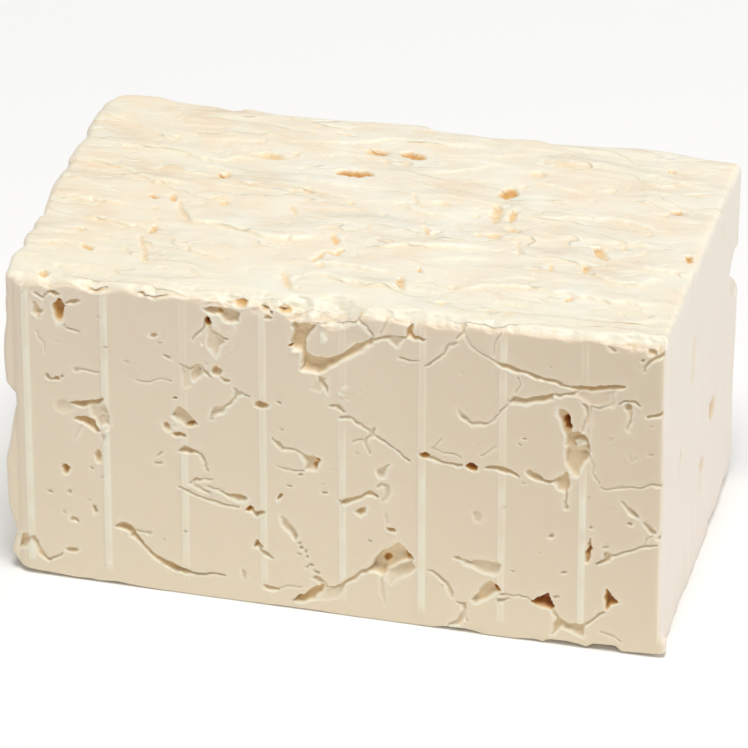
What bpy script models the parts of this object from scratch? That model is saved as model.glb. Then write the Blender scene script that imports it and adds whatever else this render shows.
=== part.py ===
"""A block of feta, cut from a drained and pressed slab: one solid of cheese.

The long front still shows the mould it drained against: smooth curd, upright ribs from the
mould's slots, and the gaps, gas holes and broken edges between the curds. The top is torn into
shallow layers by the cutting wire, and the two ends are plain wire cuts.

Places on a face are in millimetres. X runs along the block, Y into it and Z up, from the middle
of the block and from the lower lip of its front. The block stands a little below that lip.
"""

import math
import random

import bmesh
import bpy
from mathutils import Matrix, Vector, noise

MM = 0.001

# The block, in millimetres. The top isn't level: each corner has its own height above the lip.
LENGTH = 150.0
DEPTH = 84.0
HEIGHT_FRONT_LEFT = 76.5
HEIGHT_FRONT_RIGHT = 80.3
HEIGHT_BACK_LEFT = 79.4
HEIGHT_BACK_RIGHT = 81.2
FOOT = 1.2
EDGE_RADIUS = 2.2

# The grid of faces that takes the unevenness, and how uneven cut cheese is.
GRID_X = 10.0
GRID_Y = 8.4
TOP_ROW = 2.8
GRID_Z = 11.0
LUMP_SIZE = 28.0
LUMP_HEIGHT = 0.35
LAYER_SPACING = 9.0
LAYER_STEP = 1.5

# Ribs left by the slots of the mould.
RIB_FIRST = -70.9
RIB_PITCH = 18.3
RIB_COUNT = 8
RIB_WIDTH = 1.5
RIB_PROUD = 0.3
RIB_ROOT = 1.0

# How far a cutter stands out of the face that it cuts.
CLEAR = 1.0

# The left end bulges and dips where layers of curd meet: height, and how far out it stands.
LEFT_PROFILE = [
    (-2, 0.6), (3, 1.0), (8, -0.3), (11, 0.2), (16, 1.4), (28, 1.4), (36, 0.1), (42, -1.3),
    (45, -1.2), (48, 0.9), (54, 1.2), (66, 0.4), (74, -0.2), (80, -1.0),
]  # fmt: skip
# The upper back edge, along the block: how far back it stands.
BACK_PROFILE = [
    (-76, 1.2), (-64, 1.9), (-60, 0.6), (-50, -0.3), (-45, -1.4), (-42, 0.2), (-34, -0.9),
    (-18, 0.2), (-8, 1.3), (0, 1.6), (3, -0.6), (16, -0.8), (27, 0.6), (31, -0.6), (42, 0.4),
    (50, 2.0), (58, 2.0), (66, 0.0), (76, -1.0),
]  # fmt: skip

# Gaps between curds on the front: width and depth, then the places (x, z) that they run through.
# A third number makes the gap that much wider and deeper there.
FRONT_GAPS = [
    # The sweep at the lower left.
    (0.9, 1.8, [(-50.6, 14.5, 0.4), (-48.2, 14.2, 1.8), (-45.6, 11.4), (-41, 7.2), (-37.2, 5.3, 1.8),
                (-33.4, 5.5, 0.6), (-26, 5.2, 0.4)]),
    (0.5, 1.0, [(-46.8, 14.2), (-43.2, 14.0)]),
    # The hook over the lower left corner.
    (0.9, 1.6, [(-72.0, 9.6), (-73.0, 6.4, 2.0), (-70.3, 5.4), (-67.8, 2.9), (-65.2, 3.8), (-64.2, 5.2, 0.5)]),
    # The broken curd near the top left corner.
    (0.6, 1.4, [(-66.0, 74.4), (-68.4, 71.0), (-68.0, 66.6, 1.4), (-66.6, 68.6)]),
    (0.6, 1.0, [(-61.6, 71.0), (-58.8, 72.6)]),
    (0.4, 0.8, [(-61.4, 65.0), (-58.0, 64.2)]),
    # The two gaps round the curd beside the second rib.
    (1.3, 2.6, [(-60.2, 45.5), (-57.8, 46.0, 1.2), (-53.6, 47.4)]),
    (1.9, 2.8, [(-58.9, 42.2), (-57.3, 41.4), (-55.0, 39.2, 0.5)]),
    # The cleft beside the third rib.
    (1.6, 3.2, [(-29.4, 61.8), (-28.6, 66.0, 0.9), (-28.7, 70.6, 1.3), (-26.6, 73.6, 1.3), (-22.2, 73.6, 1.5)]),
    (1.1, 2.0, [(-26.9, 68.2), (-25.2, 67.0, 1.3), (-26.2, 62.6)]),
    (0.7, 1.8, [(-35.5, 59.5), (-31.6, 58.6, 2.2), (-28.2, 57.2), (-26.6, 58.8, 2.6), (-23.6, 56.2)]),
    (1.6, 2.4, [(-31.6, 58.4), (-31.4, 55.6)]),
    # The broken curd between the third and fourth ribs.
    (2.6, 2.6, [(-35.8, 47.8, 0.6), (-34.6, 45.6), (-32.2, 44.0, 0.5)]),
    (1.7, 2.2, [(-38.6, 44.0, 0.6), (-38.0, 41.8), (-35.2, 40.4), (-33.0, 40.6, 0.5)]),
    (0.8, 1.5, [(-18.4, 53.3), (-21.6, 54.2, 1.3), (-23.6, 50.4), (-27.4, 46.5)]),
    (0.9, 1.6, [(-35.0, 36.6), (-33.8, 37.4), (-30.4, 36.8, 0.5), (-29.3, 32.4, 0.6)]),
    # The long sliver across the third rib.
    (0.9, 2.2, [(-33.6, 28.6), (-31.2, 29.9, 1.2), (-28.6, 28.0, 0.5), (-24.6, 26.8), (-21.0, 26.0, 1.9)]),
    (0.5, 1.2, [(-36.0, 27.0), (-27.0, 24.6), (-22.0, 23.9)]),
    (1.3, 2.2, [(-20.2, 23.8), (-18.2, 23.2, 1.3), (-15.7, 23.4, 0.4)]),
    # The wedge left of the fifth rib.
    (0.6, 1.2, [(-15.6, 43.8), (-12.2, 41.0)]),
    (2.6, 2.4, [(-12.0, 39.2, 0.4), (-8.0, 38.6, 0.9), (-4.6, 38.2, 1.3)]),
    # The run of small gaps down to the lower edge.
    (1.8, 1.8, [(-11.6, 22.6, 0.4), (-10.2, 20.4), (-8.4, 17.4, 0.4)]),
    (0.7, 1.2, [(-8.0, 16.6), (-6.2, 12.6), (-3.6, 8.8, 1.4), (-1.4, 6.2)]),
    (0.8, 1.4, [(-17.3, 15.8, 1.2), (-17.0, 14.2, 1.8), (-14.0, 12.2, 0.5)]),
    (0.6, 1.2, [(-21.3, 7.2), (-19.6, 5.2), (-12.8, 3.5, 1.3)]),
    # The long gap that rises to the hollow at the middle.
    (1.0, 2.4, [(-9.4, 1.0, 0.8), (-5.4, 2.9, 1.8), (-2.6, 5.6, 1.2), (1.0, 6.1, 0.7), (6.0, 10.4), (9.6, 13.6, 1.2)]),
    # The loose curd under the top edge: the gap goes round it.
    (2.6, 2.6, [(-9.2, 77.0, 0.7), (-8.4, 72.0), (-7.0, 67.8), (-4.8, 63.6, 1.1), (-1.0, 64.0, 0.7),
                (4.2, 67.4, 0.5), (9.8, 71.8, 0.45), (13.0, 71.9, 0.8), (17.2, 73.6, 0.6), (20.6, 73.4, 0.3)]),
    (1.2, 2.4, [(17.4, 73.8), (17.4, 76.4), (18.6, 79.2, 0.7)]),
    (0.7, 1.4, [(5.8, 79.2, 1.2), (6.0, 76.0), (10.0, 72.2)]),
    (0.4, 0.8, [(15.0, 68.6), (21.4, 67.2), (25.4, 70.6), (27.2, 73.0)]),
    (1.0, 1.6, [(29.6, 80.0, 1.4), (29.8, 75.2, 0.7), (36.6, 70.2, 0.6)]),
    (1.0, 1.4, [(-2.3, 60.4), (-1.5, 56.8)]),
    # The straight crack under the middle curd.
    (0.6, 1.4, [(-0.6, 54.2), (2.4, 51.0), (5.2, 50.8), (17.4, 42.3)]),
    (0.8, 1.4, [(8.9, 47.6, 1.5), (7.6, 45.6), (8.4, 42.8)]),
    # Gaps between the fifth and seventh ribs.
    (0.9, 1.6, [(2.3, 29.1), (5.4, 30.4), (9.4, 32.2, 1.4)]),
    (1.0, 1.2, [(10.8, 35.1), (13.0, 33.4), (12.2, 30.8)]),
    (0.5, 1.0, [(22.6, 14.1), (25.8, 11.9), (28.1, 8.2)]),
    (0.8, 1.6, [(29.0, 56.6), (31.4, 54.0, 1.4), (34.6, 54.0), (39.0, 57.2, 0.5), (40.4, 60.2, 0.7)]),
    (1.2, 1.8, [(20.9, 43.6, 1.2), (24.4, 44.4), (29.6, 43.0), (31.8, 42.4, 1.6)]),
    (0.9, 1.6, [(35.4, 43.0), (39.0, 43.2), (42.2, 41.6)]),
    # The scoop and the hollow beside the seventh rib, and the torn curd below it.
    (2.2, 1.2, [(29.0, 18.0, 0.4), (33.6, 16.8), (37.2, 16.6, 1.3), (39.0, 17.2, 0.6)]),
    (0.9, 1.6, [(33.4, 8.2), (30.8, 6.2, 1.3), (30.6, 2.6)]),
    # Round the long curd at the upper right.
    (0.8, 1.8, [(36.6, 70.2), (44.4, 68.0, 1.1), (52.0, 66.7), (57.4, 66.4, 0.6)]),
    (1.0, 2.2, [(40.2, 60.7, 1.6), (44.6, 61.6, 1.2), (53.6, 64.5), (58.4, 66.9), (65.6, 68.2)]),
    (0.6, 1.0, [(42.8, 66.6), (41.4, 62.6)]),
    # The tall cleft between the seventh and eighth ribs.
    (2.6, 3.6, [(53.0, 62.2, 0.8), (52.6, 59.6, 0.7), (53.6, 56.0, 0.7), (55.6, 52.4, 1.3), (55.8, 47.2, 1.4),
                (53.0, 42.8), (53.3, 38.6, 0.8), (53.4, 34.0, 0.25)]),
    (2.4, 1.6, [(56.0, 64.0, 0.7), (56.2, 58.0, 1.1), (56.6, 54.0, 1.2)]),
    (1.2, 1.8, [(45.0, 42.8), (48.6, 41.6), (51.4, 42.0)]),
    (0.6, 1.4, [(58.2, 48.6), (60.6, 44.4), (61.8, 41.4), (75.4, 44.0, 0.8)]),
    (0.5, 1.0, [(63.6, 66.0), (63.7, 62.8)]),
    (0.9, 1.6, [(65.6, 63.7), (67.4, 62.6, 1.2), (67.6, 58.8, 0.6)]),
    # Down the right-hand side.
    (0.7, 1.4, [(66.0, 39.0), (69.2, 35.6, 1.4), (73.6, 31.8), (71.6, 28.0), (64.0, 24.0), (61.0, 21.8, 1.6)]),
    (0.9, 3.0, [(58.7, 27.4, 0.4), (58.6, 24.6), (58.2, 21.6)]),
    (0.8, 1.6, [(46.2, 9.4), (50.6, 6.8), (58.4, 4.0, 1.6), (63.2, 10.0)]),
    (0.5, 1.0, [(50.8, 15.2), (53.6, 18.4)]),
    (0.9, 1.6, [(70.6, 72.2, 0.5), (72.4, 76.6, 1.6)]),
]  # fmt: skip

# Gas holes and pits on the front: place (x, z), width, height, turn in degrees, and depth.
FRONT_PITS = [
    (-63.0, 68.6, 2.4, 6.4, 0, 3.4), (-62.3, 44.6, 3.4, 3.4, 0, 0.9), (-64.4, 51.4, 2.6, 1.3, 0, 1.6),
    (-66.1, 52.0, 0.9, 1.8, 10, 1.2), (-62.2, 27.9, 1.6, 2.2, 0, 2.0), (-61.7, 22.4, 1.0, 2.2, 25, 0.8),
    (-61.2, 14.8, 2.4, 1.0, -35, 1.2), (-61.6, 6.8, 2.6, 1.3, 12, 1.4), (-63.9, 17.4, 1.5, 1.9, 0, 0.8),
    (-55.8, 18.6, 0.8, 2.0, 0, 1.4), (-54.3, 33.0, 1.3, 1.9, 0, 1.6), (-41.0, 66.0, 1.9, 1.0, 20, 1.0),
    (-37.8, 60.7, 1.5, 0.8, -15, 1.0), (-40.4, 32.8, 1.6, 1.0, 0, 1.0), (-36.0, 49.9, 1.0, 1.0, 0, 1.2),
    (-32.7, 44.0, 2.2, 1.1, 15, 1.8), (-20.9, 77.8, 3.0, 1.9, 0, 2.2), (-15.3, 77.0, 1.8, 2.0, 0, 2.0),
    (-10.9, 77.6, 2.4, 1.7, 0, 2.0), (-16.0, 51.5, 3.4, 2.2, 0, 2.0), (-12.5, 52.6, 1.4, 0.9, -20, 1.0),
    (-12.3, 28.2, 1.0, 2.0, -25, 1.6), (-9.7, 31.2, 1.3, 0.8, 0, 1.0), (-1.8, 30.6, 1.3, 0.8, 0, 1.0),
    (13.2, 14.2, 9.0, 5.2, 42, 4.2), (13.3, 23.7, 2.0, 1.4, -20, 1.6), (11.2, 38.0, 1.8, 3.0, -25, 1.2),
    (33.5, 30.0, 2.3, 2.3, 0, 1.0), (36.0, 10.2, 6.4, 3.4, 50, 3.2), (43.8, 51.2, 1.0, 0.8, 0, 0.8),
    (63.0, 24.2, 3.4, 1.6, 15, 1.6), (51.6, 11.2, 1.7, 1.1, 10, 0.8), (50.2, 27.4, 1.0, 1.6, -20, 1.2),
    (75.0, 30.0, 1.6, 1.8, 0, 1.6), (-53.0, 76.4, 5.0, 1.8, 12, 1.2), (0.0, 79.4, 15.0, 4.6, 0, 1.4),
]  # fmt: skip

# The two holes with three sharp corners: the curds that met there had flat sides.
FRONT_CORNER_HOLES = [(48.8, 9.6, 2.6, 100, 3.2), (64.0, 12.5, 2.6, 90, 3.0), (7.0, 27.3, 1.5, 30, 1.8)]

# Gaps and pits on the top: the same, with places (x, y).
TOP_GAPS = [
    (0.9, 1.2, [(-46.2, -2.4), (-44.4, -6.2), (-41.8, -10.2)]),
    (1.0, 1.0, [(-50.0, -19.6), (-47.8, -25.4), (-46.4, -29.4)]),
    (1.2, 1.8, [(-53.6, -0.8), (-51.0, -1.6, 0.7)]),
    (0.8, 1.6, [(-48.4, -13.8, 0.6), (-48.6, -16.4, 1.2), (-48.2, -18.2)]),
    (0.9, 1.4, [(-4.0, -16.2), (-5.4, -18.2), (-8.2, -19.6), (-9.2, -22.8)]),
    (1.4, 1.8, [(-8.4, -8.8), (-7.2, -11.6, 1.2), (-5.8, -14.2)]),
    (1.2, 1.2, [(-15.2, -27.8), (-13.2, -31.0), (-11.2, -34.8)]),
    (1.2, 1.4, [(10.4, -25.4), (11.6, -28.0, 1.2), (13.2, -30.2)]),
    (0.9, 1.4, [(-18.4, 36.0), (-15.0, 34.8)]),
    (1.0, 1.2, [(-20.2, 0.6), (-18.6, -3.0)]),
    (2.2, 2.0, [(49.6, -3.4, 0.6), (52.2, -6.4), (54.6, -8.8, 0.7)]),
    (1.2, 1.6, [(42.2, -12.6, 0.6), (43.2, -16.6)]),
    (1.4, 1.8, [(61.8, 14.0, 0.7), (64.2, 14.8), (67.0, 15.2, 0.7)]),
    (2.6, 1.8, [(25.2, 10.4, 0.6), (25.6, 6.6), (28.2, 3.4, 1.2), (30.0, 8.4, 0.8)]),
    (1.2, 1.4, [(29.2, 1.0), (33.0, 0.0)]),
]  # fmt: skip
TOP_PITS = [
    (-32.0, 21.7, 7.6, 2.0, 0, 1.2), (-39.0, 11.2, 3.0, 2.8, 0, 1.8), (-48.0, -1.0, 1.8, 3.2, 15, 1.6),
    (-36.2, -0.8, 3.0, 2.6, 0, 1.2), (-67.2, -38.6, 2.8, 2.4, -30, 1.4), (-7.7, 28.6, 5.4, 2.6, 0, 1.6),
    (1.2, 28.8, 7.2, 2.4, -8, 2.2), (-10.6, 17.8, 8.0, 3.0, 8, 2.8), (26.6, 16.4, 3.4, 4.6, -20, 2.6),
    (27.2, -2.8, 3.6, 2.0, 0, 1.2), (12.6, 8.5, 4.8, 1.8, 0, 0.8), (-18.4, 8.4, 3.0, 2.4, 0, 0.9),
    (-7.0, -24.3, 2.4, 1.6, -10, 1.2), (15.0, -21.2, 0.9, 2.2, 15, 1.8), (23.0, -34.3, 2.6, 1.3, 0, 1.6),
    (60.6, 34.4, 1.8, 1.6, 30, 1.2), (57.0, -2.0, 1.8, 2.2, 0, 1.2), (72.1, -4.2, 1.6, 3.0, 10, 1.8),
    (65.6, 15.4, 2.6, 1.6, 0, 2.2), (30.6, 27.0, 2.6, 2.4, 0, 0.9), (13.4, -4.6, 2.0, 1.2, 10, 1.2),
]  # fmt: skip

# Pits on the right end, drawn tall by the wire: the same, with places (y, z).
RIGHT_PITS = [
    (-8.6, 58.4, 2.6, 8.6, 14, 2.0), (15.6, 32.0, 2.2, 4.2, 12, 1.8), (4.0, 22.8, 2.0, 3.0, 10, 1.4),
    (-22.6, 39.4, 1.2, 5.0, 8, 1.0), (24.0, 71.0, 1.2, 4.4, 10, 0.8),
]  # fmt: skip

# Pieces broken from the edges: centre (x, y, z), size, and turn in degrees about Y.
EDGE_CHIPS = [
    ((76.6, 43.4, 57.0), (10.0, 23.0, 10.0), 12), ((77.6, 47.0, -2.2), (12.0, 62.0, 13.0), 0),
    ((53.6, -43.0, -1.6), (7.0, 5.0, 5.0), 0), ((63.0, -43.2, -1.6), (7.4, 5.0, 5.4), 0),
    ((29.4, -43.0, -1.8), (10.0, 4.6, 4.4), 0), ((-5.6, -43.0, -1.9), (9.0, 4.4, 4.0), 0),
    ((-76.0, -43.0, -1.2), (8.0, 6.0, 5.0), 20), ((-77.4, -43.0, 43.4), (5.6, 10.0, 7.4), 0),
    ((76.4, -43.2, -1.4), (6.6, 6.6, 6.0), 20), ((77.4, 24.0, -1.6), (6.0, 9.0, 6.0), 8),
]  # fmt: skip

# The back and the left end aren't seen. They are broken by the same kinds of holes, placed by chance.
HIDDEN_SEED = 7
BACK_PIT_COUNT = 8
BACK_GAP_COUNT = 3
LEFT_PIT_COUNT = 4


def profile(points, at):
    """The height of a line through the points, at this place along it."""
    for (start, low), (end, high) in zip(points, points[1:]):
        if at <= end:
            return low + (high - low) * max(0.0, (at - start) / (end - start))
    return points[-1][1]


def top_height(x, y):
    """The top's height above the lip, before its layers are torn."""
    along = x / LENGTH + 0.5
    back = y / DEPTH + 0.5
    front = HEIGHT_FRONT_LEFT + (HEIGHT_FRONT_RIGHT - HEIGHT_FRONT_LEFT) * along
    rear = HEIGHT_BACK_LEFT + (HEIGHT_BACK_RIGHT - HEIGHT_BACK_LEFT) * along
    return front + (rear - front) * back


def layers(x, y):
    """The torn layers of the top: each rises slowly towards the back and ends in a step."""
    wander = 7.0 * noise.noise(Vector((x / 34, y / 60, 3.1))) + 2.0 * noise.noise(Vector((x / 9, y / 30, 8.4)))
    place = (y + wander + 0.10 * x) / LAYER_SPACING
    share = place - math.floor(place)
    rise = share if share < 0.8 else 4.0 * (1.0 - share)
    strength = 0.6 + 0.5 * noise.noise(Vector((x / 25, math.floor(place) * 5.3, 1.0)))
    return LAYER_STEP * strength * (rise - 0.5)


def lump(place, channel):
    return LUMP_HEIGHT * noise.noise(place / LUMP_SIZE + Vector((0, 0, 17.0 * channel)))


def on_front(u, v, out):
    return Vector((u, -DEPTH / 2 - out, v))


def on_back(u, v, out):
    return Vector((-u, DEPTH / 2 + out, v))


def on_top(u, v, out):
    return Vector((u, v, top_height(u, v) + out))


def on_right(u, v, out):
    return Vector((LENGTH / 2 + out, u, v))


def on_left(u, v, out):
    return Vector((-LENGTH / 2 - out, -u, v))


def new_object(name, mesh_maker, collection=None):
    """An object from a bmesh that is in millimetres, with its faces turned outwards."""
    bm = bmesh.new()
    mesh_maker(bm)
    bmesh.ops.recalc_face_normals(bm, faces=bm.faces)
    bmesh.ops.scale(bm, vec=Vector((MM, MM, MM)), verts=bm.verts)
    mesh = bpy.data.meshes.new(name)
    bm.to_mesh(mesh)
    bm.free()
    made = bpy.data.objects.new(name, mesh)
    (collection or bpy.context.scene.collection).objects.link(made)
    return made


def block_mesh(bm):
    """The pressed block: a box with soft edges, cut into a grid and made uneven."""
    bmesh.ops.create_cube(bm, size=1.0)
    height = (HEIGHT_BACK_LEFT + HEIGHT_FRONT_RIGHT) / 2 + FOOT
    for vert in bm.verts:
        vert.co = Vector((vert.co.x * LENGTH, vert.co.y * DEPTH, (vert.co.z + 0.5) * height - FOOT))
    bmesh.ops.bevel(bm, geom=bm.edges[:], offset=EDGE_RADIUS, segments=2, profile=0.5, affect="EDGES")
    for axis, span, step in ((0, LENGTH, GRID_X), (1, DEPTH, GRID_Y), (2, height, GRID_Z)):
        normal = Vector((axis == 0, axis == 1, axis == 2))
        middle = Vector((0, 0, height / 2 - FOOT))
        slice_evenly(bm, bm.faces[:], middle, normal, span - 2 * EDGE_RADIUS, step)
    top = [face for face in bm.faces if face.normal.z > 0.9]
    slice_evenly(bm, top, Vector(), Vector((0, 1, 0)), DEPTH - 2 * EDGE_RADIUS, TOP_ROW)
    for vert in bm.verts:
        vert.co = uneven(vert.co.copy(), height)
    flat = [face for face in bm.faces if all(vert.co.z < -FOOT + 1e-4 for vert in face.verts)]
    bmesh.ops.dissolve_faces(bm, faces=flat)
    bmesh.ops.triangulate(bm, faces=bm.faces)


def slice_evenly(bm, faces, middle, normal, span, step):
    """Cuts these faces across, at even steps over the span."""
    cuts = int(span / step)
    for cut in range(cuts + 1):
        place = middle + normal * ((cut - cuts / 2) * step)
        geom = set(faces)
        for face in faces:
            geom.update(face.edges, face.verts)
        found = bmesh.ops.bisect_plane(bm, geom=list(geom), plane_co=place, plane_no=normal)
        faces = [item for item in found["geom"] if isinstance(item, bmesh.types.BMFace)]


def uneven(place, height):
    """Where a point of the plain box goes on the real block. The underside stays flat."""
    level = (place.z + FOOT) / height
    inside = place.copy()
    place.z = -FOOT + level * (top_height(inside.x, inside.y) + FOOT)
    lift = min(1.0, (place.z + FOOT) / 6.0)
    if level > 0.97:
        place.z += layers(inside.x, inside.y) * min(1.0, (DEPTH / 2 - abs(inside.y)) / 4.0)
    place.z += lift * level * lump(inside, 1)
    if inside.y > DEPTH / 2 - 8:
        place.y += lift * profile(BACK_PROFILE, inside.x) * (0.4 + 0.6 * level)
    if inside.x < -LENGTH / 2 + 6:
        place.x -= lift * profile(LEFT_PROFILE, inside.z)
    place.y += lift * lump(inside, 2) * (1.0 if inside.y > 0 else 0.4)
    place.x += lift * lump(inside, 3)
    return place


def gap_mesh(face, width, depth, points):
    """A maker for a gap between curds: a wedge that follows the points, narrow and shallow at its ends."""

    def make(bm):
        places = [Vector(point[:2]) for point in points]
        sections = []
        for index, point in enumerate(points):
            before = places[max(0, index - 1)]
            after = places[min(len(points) - 1, index + 1)]
            across = (after - before).normalized().orthogonal()
            size = point[2] if len(point) > 2 else 1.0
            if index in (0, len(points) - 1):
                size *= 0.5
            deep = depth * math.sqrt(size)
            half = width * size / 2
            mouth = half * (1 + 0.8 * CLEAR / deep)
            centre = places[index]
            section = []
            for side, out in ((-mouth, CLEAR), (mouth, CLEAR), (0.3 * half, -deep), (-0.3 * half, -deep)):
                section.append(bm.verts.new(face(*(centre + across * side), out)))
            sections.append(section)
        for first, second in zip(sections, sections[1:]):
            for corner in range(4):
                after = (corner + 1) % 4
                bm.faces.new((first[corner], first[after], second[after], second[corner]))
        bm.faces.new(sections[0])
        bm.faces.new(sections[-1])
        bmesh.ops.triangulate(bm, faces=bm.faces)

    return make


def shape_to_face(bm, face, u, v, width, height, turn, depth):
    """Stretches and turns a unit shape round the origin onto its place on a face: its Z points out."""
    angle = math.radians(turn)
    for vert in bm.verts:
        across = vert.co.x * width / 2
        along = vert.co.y * height / 2
        place_u = u + across * math.cos(angle) - along * math.sin(angle)
        place_v = v + across * math.sin(angle) + along * math.cos(angle)
        vert.co = face(place_u, place_v, vert.co.z * depth)


def pit_mesh(face, u, v, width, height, turn, depth):
    """A maker for a gas hole: a rounded pit. A small one has fewer faces."""

    def make(bm):
        bmesh.ops.create_uvsphere(bm, u_segments=8 if max(width, height) > 2.2 else 6, v_segments=4, radius=1.0)
        shape_to_face(bm, face, u, v, width, height, turn, depth)

    return make


def corner_hole_mesh(face, u, v, size, turn, depth):
    """A maker for a hole with three corners, narrower at its floor."""

    def make(bm):
        bmesh.ops.create_cone(bm, cap_ends=True, segments=3, radius1=0.35, radius2=1.25, depth=2.0)
        shape_to_face(bm, face, u, v, size * 1.35, size * 1.35, turn, depth)

    return make


def chip_mesh(centre, size, turn):
    """A maker for a piece broken from an edge: a lump of few faces."""

    def make(bm):
        bmesh.ops.create_icosphere(bm, subdivisions=2, radius=0.5)
        bmesh.ops.scale(bm, vec=Vector(size), verts=bm.verts)
        spin = Matrix.Rotation(math.radians(turn), 3, "Y")
        bmesh.ops.rotate(bm, cent=Vector(), matrix=spin, verts=bm.verts)
        bmesh.ops.translate(bm, vec=Vector(centre), verts=bm.verts)

    return make


def rib_mesh(x):
    """A maker for one rib of the mould: a flat-topped bar, its root inside the cheese."""

    def make(bm):
        low = -FOOT + 1.6
        high = top_height(x, -DEPTH / 2) - 2.0
        section = [
            (-RIB_WIDTH / 2, RIB_ROOT), (-RIB_WIDTH / 2, 0), (-RIB_WIDTH / 3, -RIB_PROUD),
            (RIB_WIDTH / 3, -RIB_PROUD), (RIB_WIDTH / 2, 0), (RIB_WIDTH / 2, RIB_ROOT),
        ]  # fmt: skip
        rings = []
        for z in (low, high):
            ring = [bm.verts.new((x + across, -DEPTH / 2 + inward, z)) for across, inward in section]
            rings.append(ring)
        for corner in range(len(section)):
            after = (corner + 1) % len(section)
            bm.faces.new((rings[0][corner], rings[0][after], rings[1][after], rings[1][corner]))
        bm.faces.new(rings[0])
        bm.faces.new(rings[1])
        bmesh.ops.triangulate(bm, faces=bm.faces)

    return make


def hidden_cutters():
    """The gaps and pits of the back and the left end."""
    chance = random.Random(HIDDEN_SEED)
    makers = []
    for index in range(BACK_PIT_COUNT):
        u = -66 + 132 * (index + chance.random()) / BACK_PIT_COUNT
        v = chance.uniform(8, 70)
        width = chance.uniform(1.4, 4.2)
        makers.append(pit_mesh(on_back, u, v, width, width * chance.uniform(0.5, 1.1), chance.uniform(0, 180), 1.9))
    for index in range(BACK_GAP_COUNT):
        u = -60 + 112 * (index + chance.random()) / BACK_GAP_COUNT
        v = chance.uniform(14, 60)
        heading = chance.uniform(-1.2, 1.2)
        points = []
        for step in range(4):
            points.append((u, v, 1.0 + 0.8 * (step == 1)))
            u += chance.uniform(3, 5) * math.cos(heading)
            v += chance.uniform(3, 5) * math.sin(heading)
            heading += chance.uniform(-0.7, 0.7)
        makers.append(gap_mesh(on_back, 1.1, 2.0, points))
    for index in range(LEFT_PIT_COUNT):
        u = -34 + 68 * (index + chance.random()) / LEFT_PIT_COUNT
        height = chance.uniform(2.4, 6.0)
        makers.append(pit_mesh(on_left, u, chance.uniform(10, 68), height * 0.45, height, chance.uniform(-15, 15), 2.2))
    return makers


def cutters():
    """Every hole, gap and chip of the block, as makers of its cutter."""
    makers = [gap_mesh(on_front, *gap) for gap in FRONT_GAPS]
    makers += [gap_mesh(on_top, *gap) for gap in TOP_GAPS]
    makers += [pit_mesh(on_front, *pit) for pit in FRONT_PITS]
    makers += [pit_mesh(on_top, *pit) for pit in TOP_PITS]
    makers += [pit_mesh(on_right, *pit) for pit in RIGHT_PITS]
    makers += [corner_hole_mesh(on_front, *hole) for hole in FRONT_CORNER_HOLES]
    makers += [chip_mesh(*chip) for chip in EDGE_CHIPS]
    return makers + hidden_cutters()


def combine(block, operation, makers):
    """One Boolean on a collection of shapes, applied, with the shapes then removed."""
    shapes = bpy.data.collections.new(operation.lower())
    bpy.context.scene.collection.children.link(shapes)
    for index, maker in enumerate(makers):
        new_object(f"{operation.lower()}_{index}", maker, shapes)
    modifier = block.modifiers.new(operation.lower(), "BOOLEAN")
    modifier.operation = operation
    modifier.operand_type = "COLLECTION"
    modifier.collection = shapes
    modifier.solver = "EXACT"
    graph = bpy.context.evaluated_depsgraph_get()
    result = bpy.data.meshes.new_from_object(block.evaluated_get(graph))
    block.modifiers.clear()
    block.data = result
    for shape in list(shapes.objects):
        bpy.data.objects.remove(shape)
    bpy.data.collections.remove(shapes)


def stand_on_origin(block):
    """Moves the finished mesh so that the origin is at the middle of its box, on the underside."""
    low = Vector(min(vert.co[axis] for vert in block.data.vertices) for axis in range(3))
    high = Vector(max(vert.co[axis] for vert in block.data.vertices) for axis in range(3))
    block.data.transform(Matrix.Translation((-(low.x + high.x) / 2, -(low.y + high.y) / 2, -low.z)))


def cheese():
    """Feta: cream white, and smooth but not shiny."""
    material = bpy.data.materials.new("feta")
    material.use_nodes = True
    shader = material.node_tree.nodes["Principled BSDF"]
    shader.inputs["Base Color"].default_value = (0.83, 0.74, 0.58, 1.0)
    shader.inputs["Roughness"].default_value = 0.45
    shader.inputs["Metallic"].default_value = 0.0
    shader.inputs["Subsurface Weight"].default_value = 0.3
    return material


def build():
    for old in list(bpy.data.objects):
        bpy.data.objects.remove(old)
    block = new_object("feta_block", block_mesh)
    combine(block, "UNION", [rib_mesh(RIB_FIRST + RIB_PITCH * rib) for rib in range(RIB_COUNT)])
    combine(block, "DIFFERENCE", cutters())
    stand_on_origin(block)
    block.data.materials.clear()
    block.data.materials.append(cheese())


build()
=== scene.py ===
"""A block of feta on a pale floor, in soft studio light.

Places on the block are in millimetres. X runs along it, Y into it and Z up, from the middle of
its length and depth and from the lower lip of its ribbed front.
"""

import math

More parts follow.
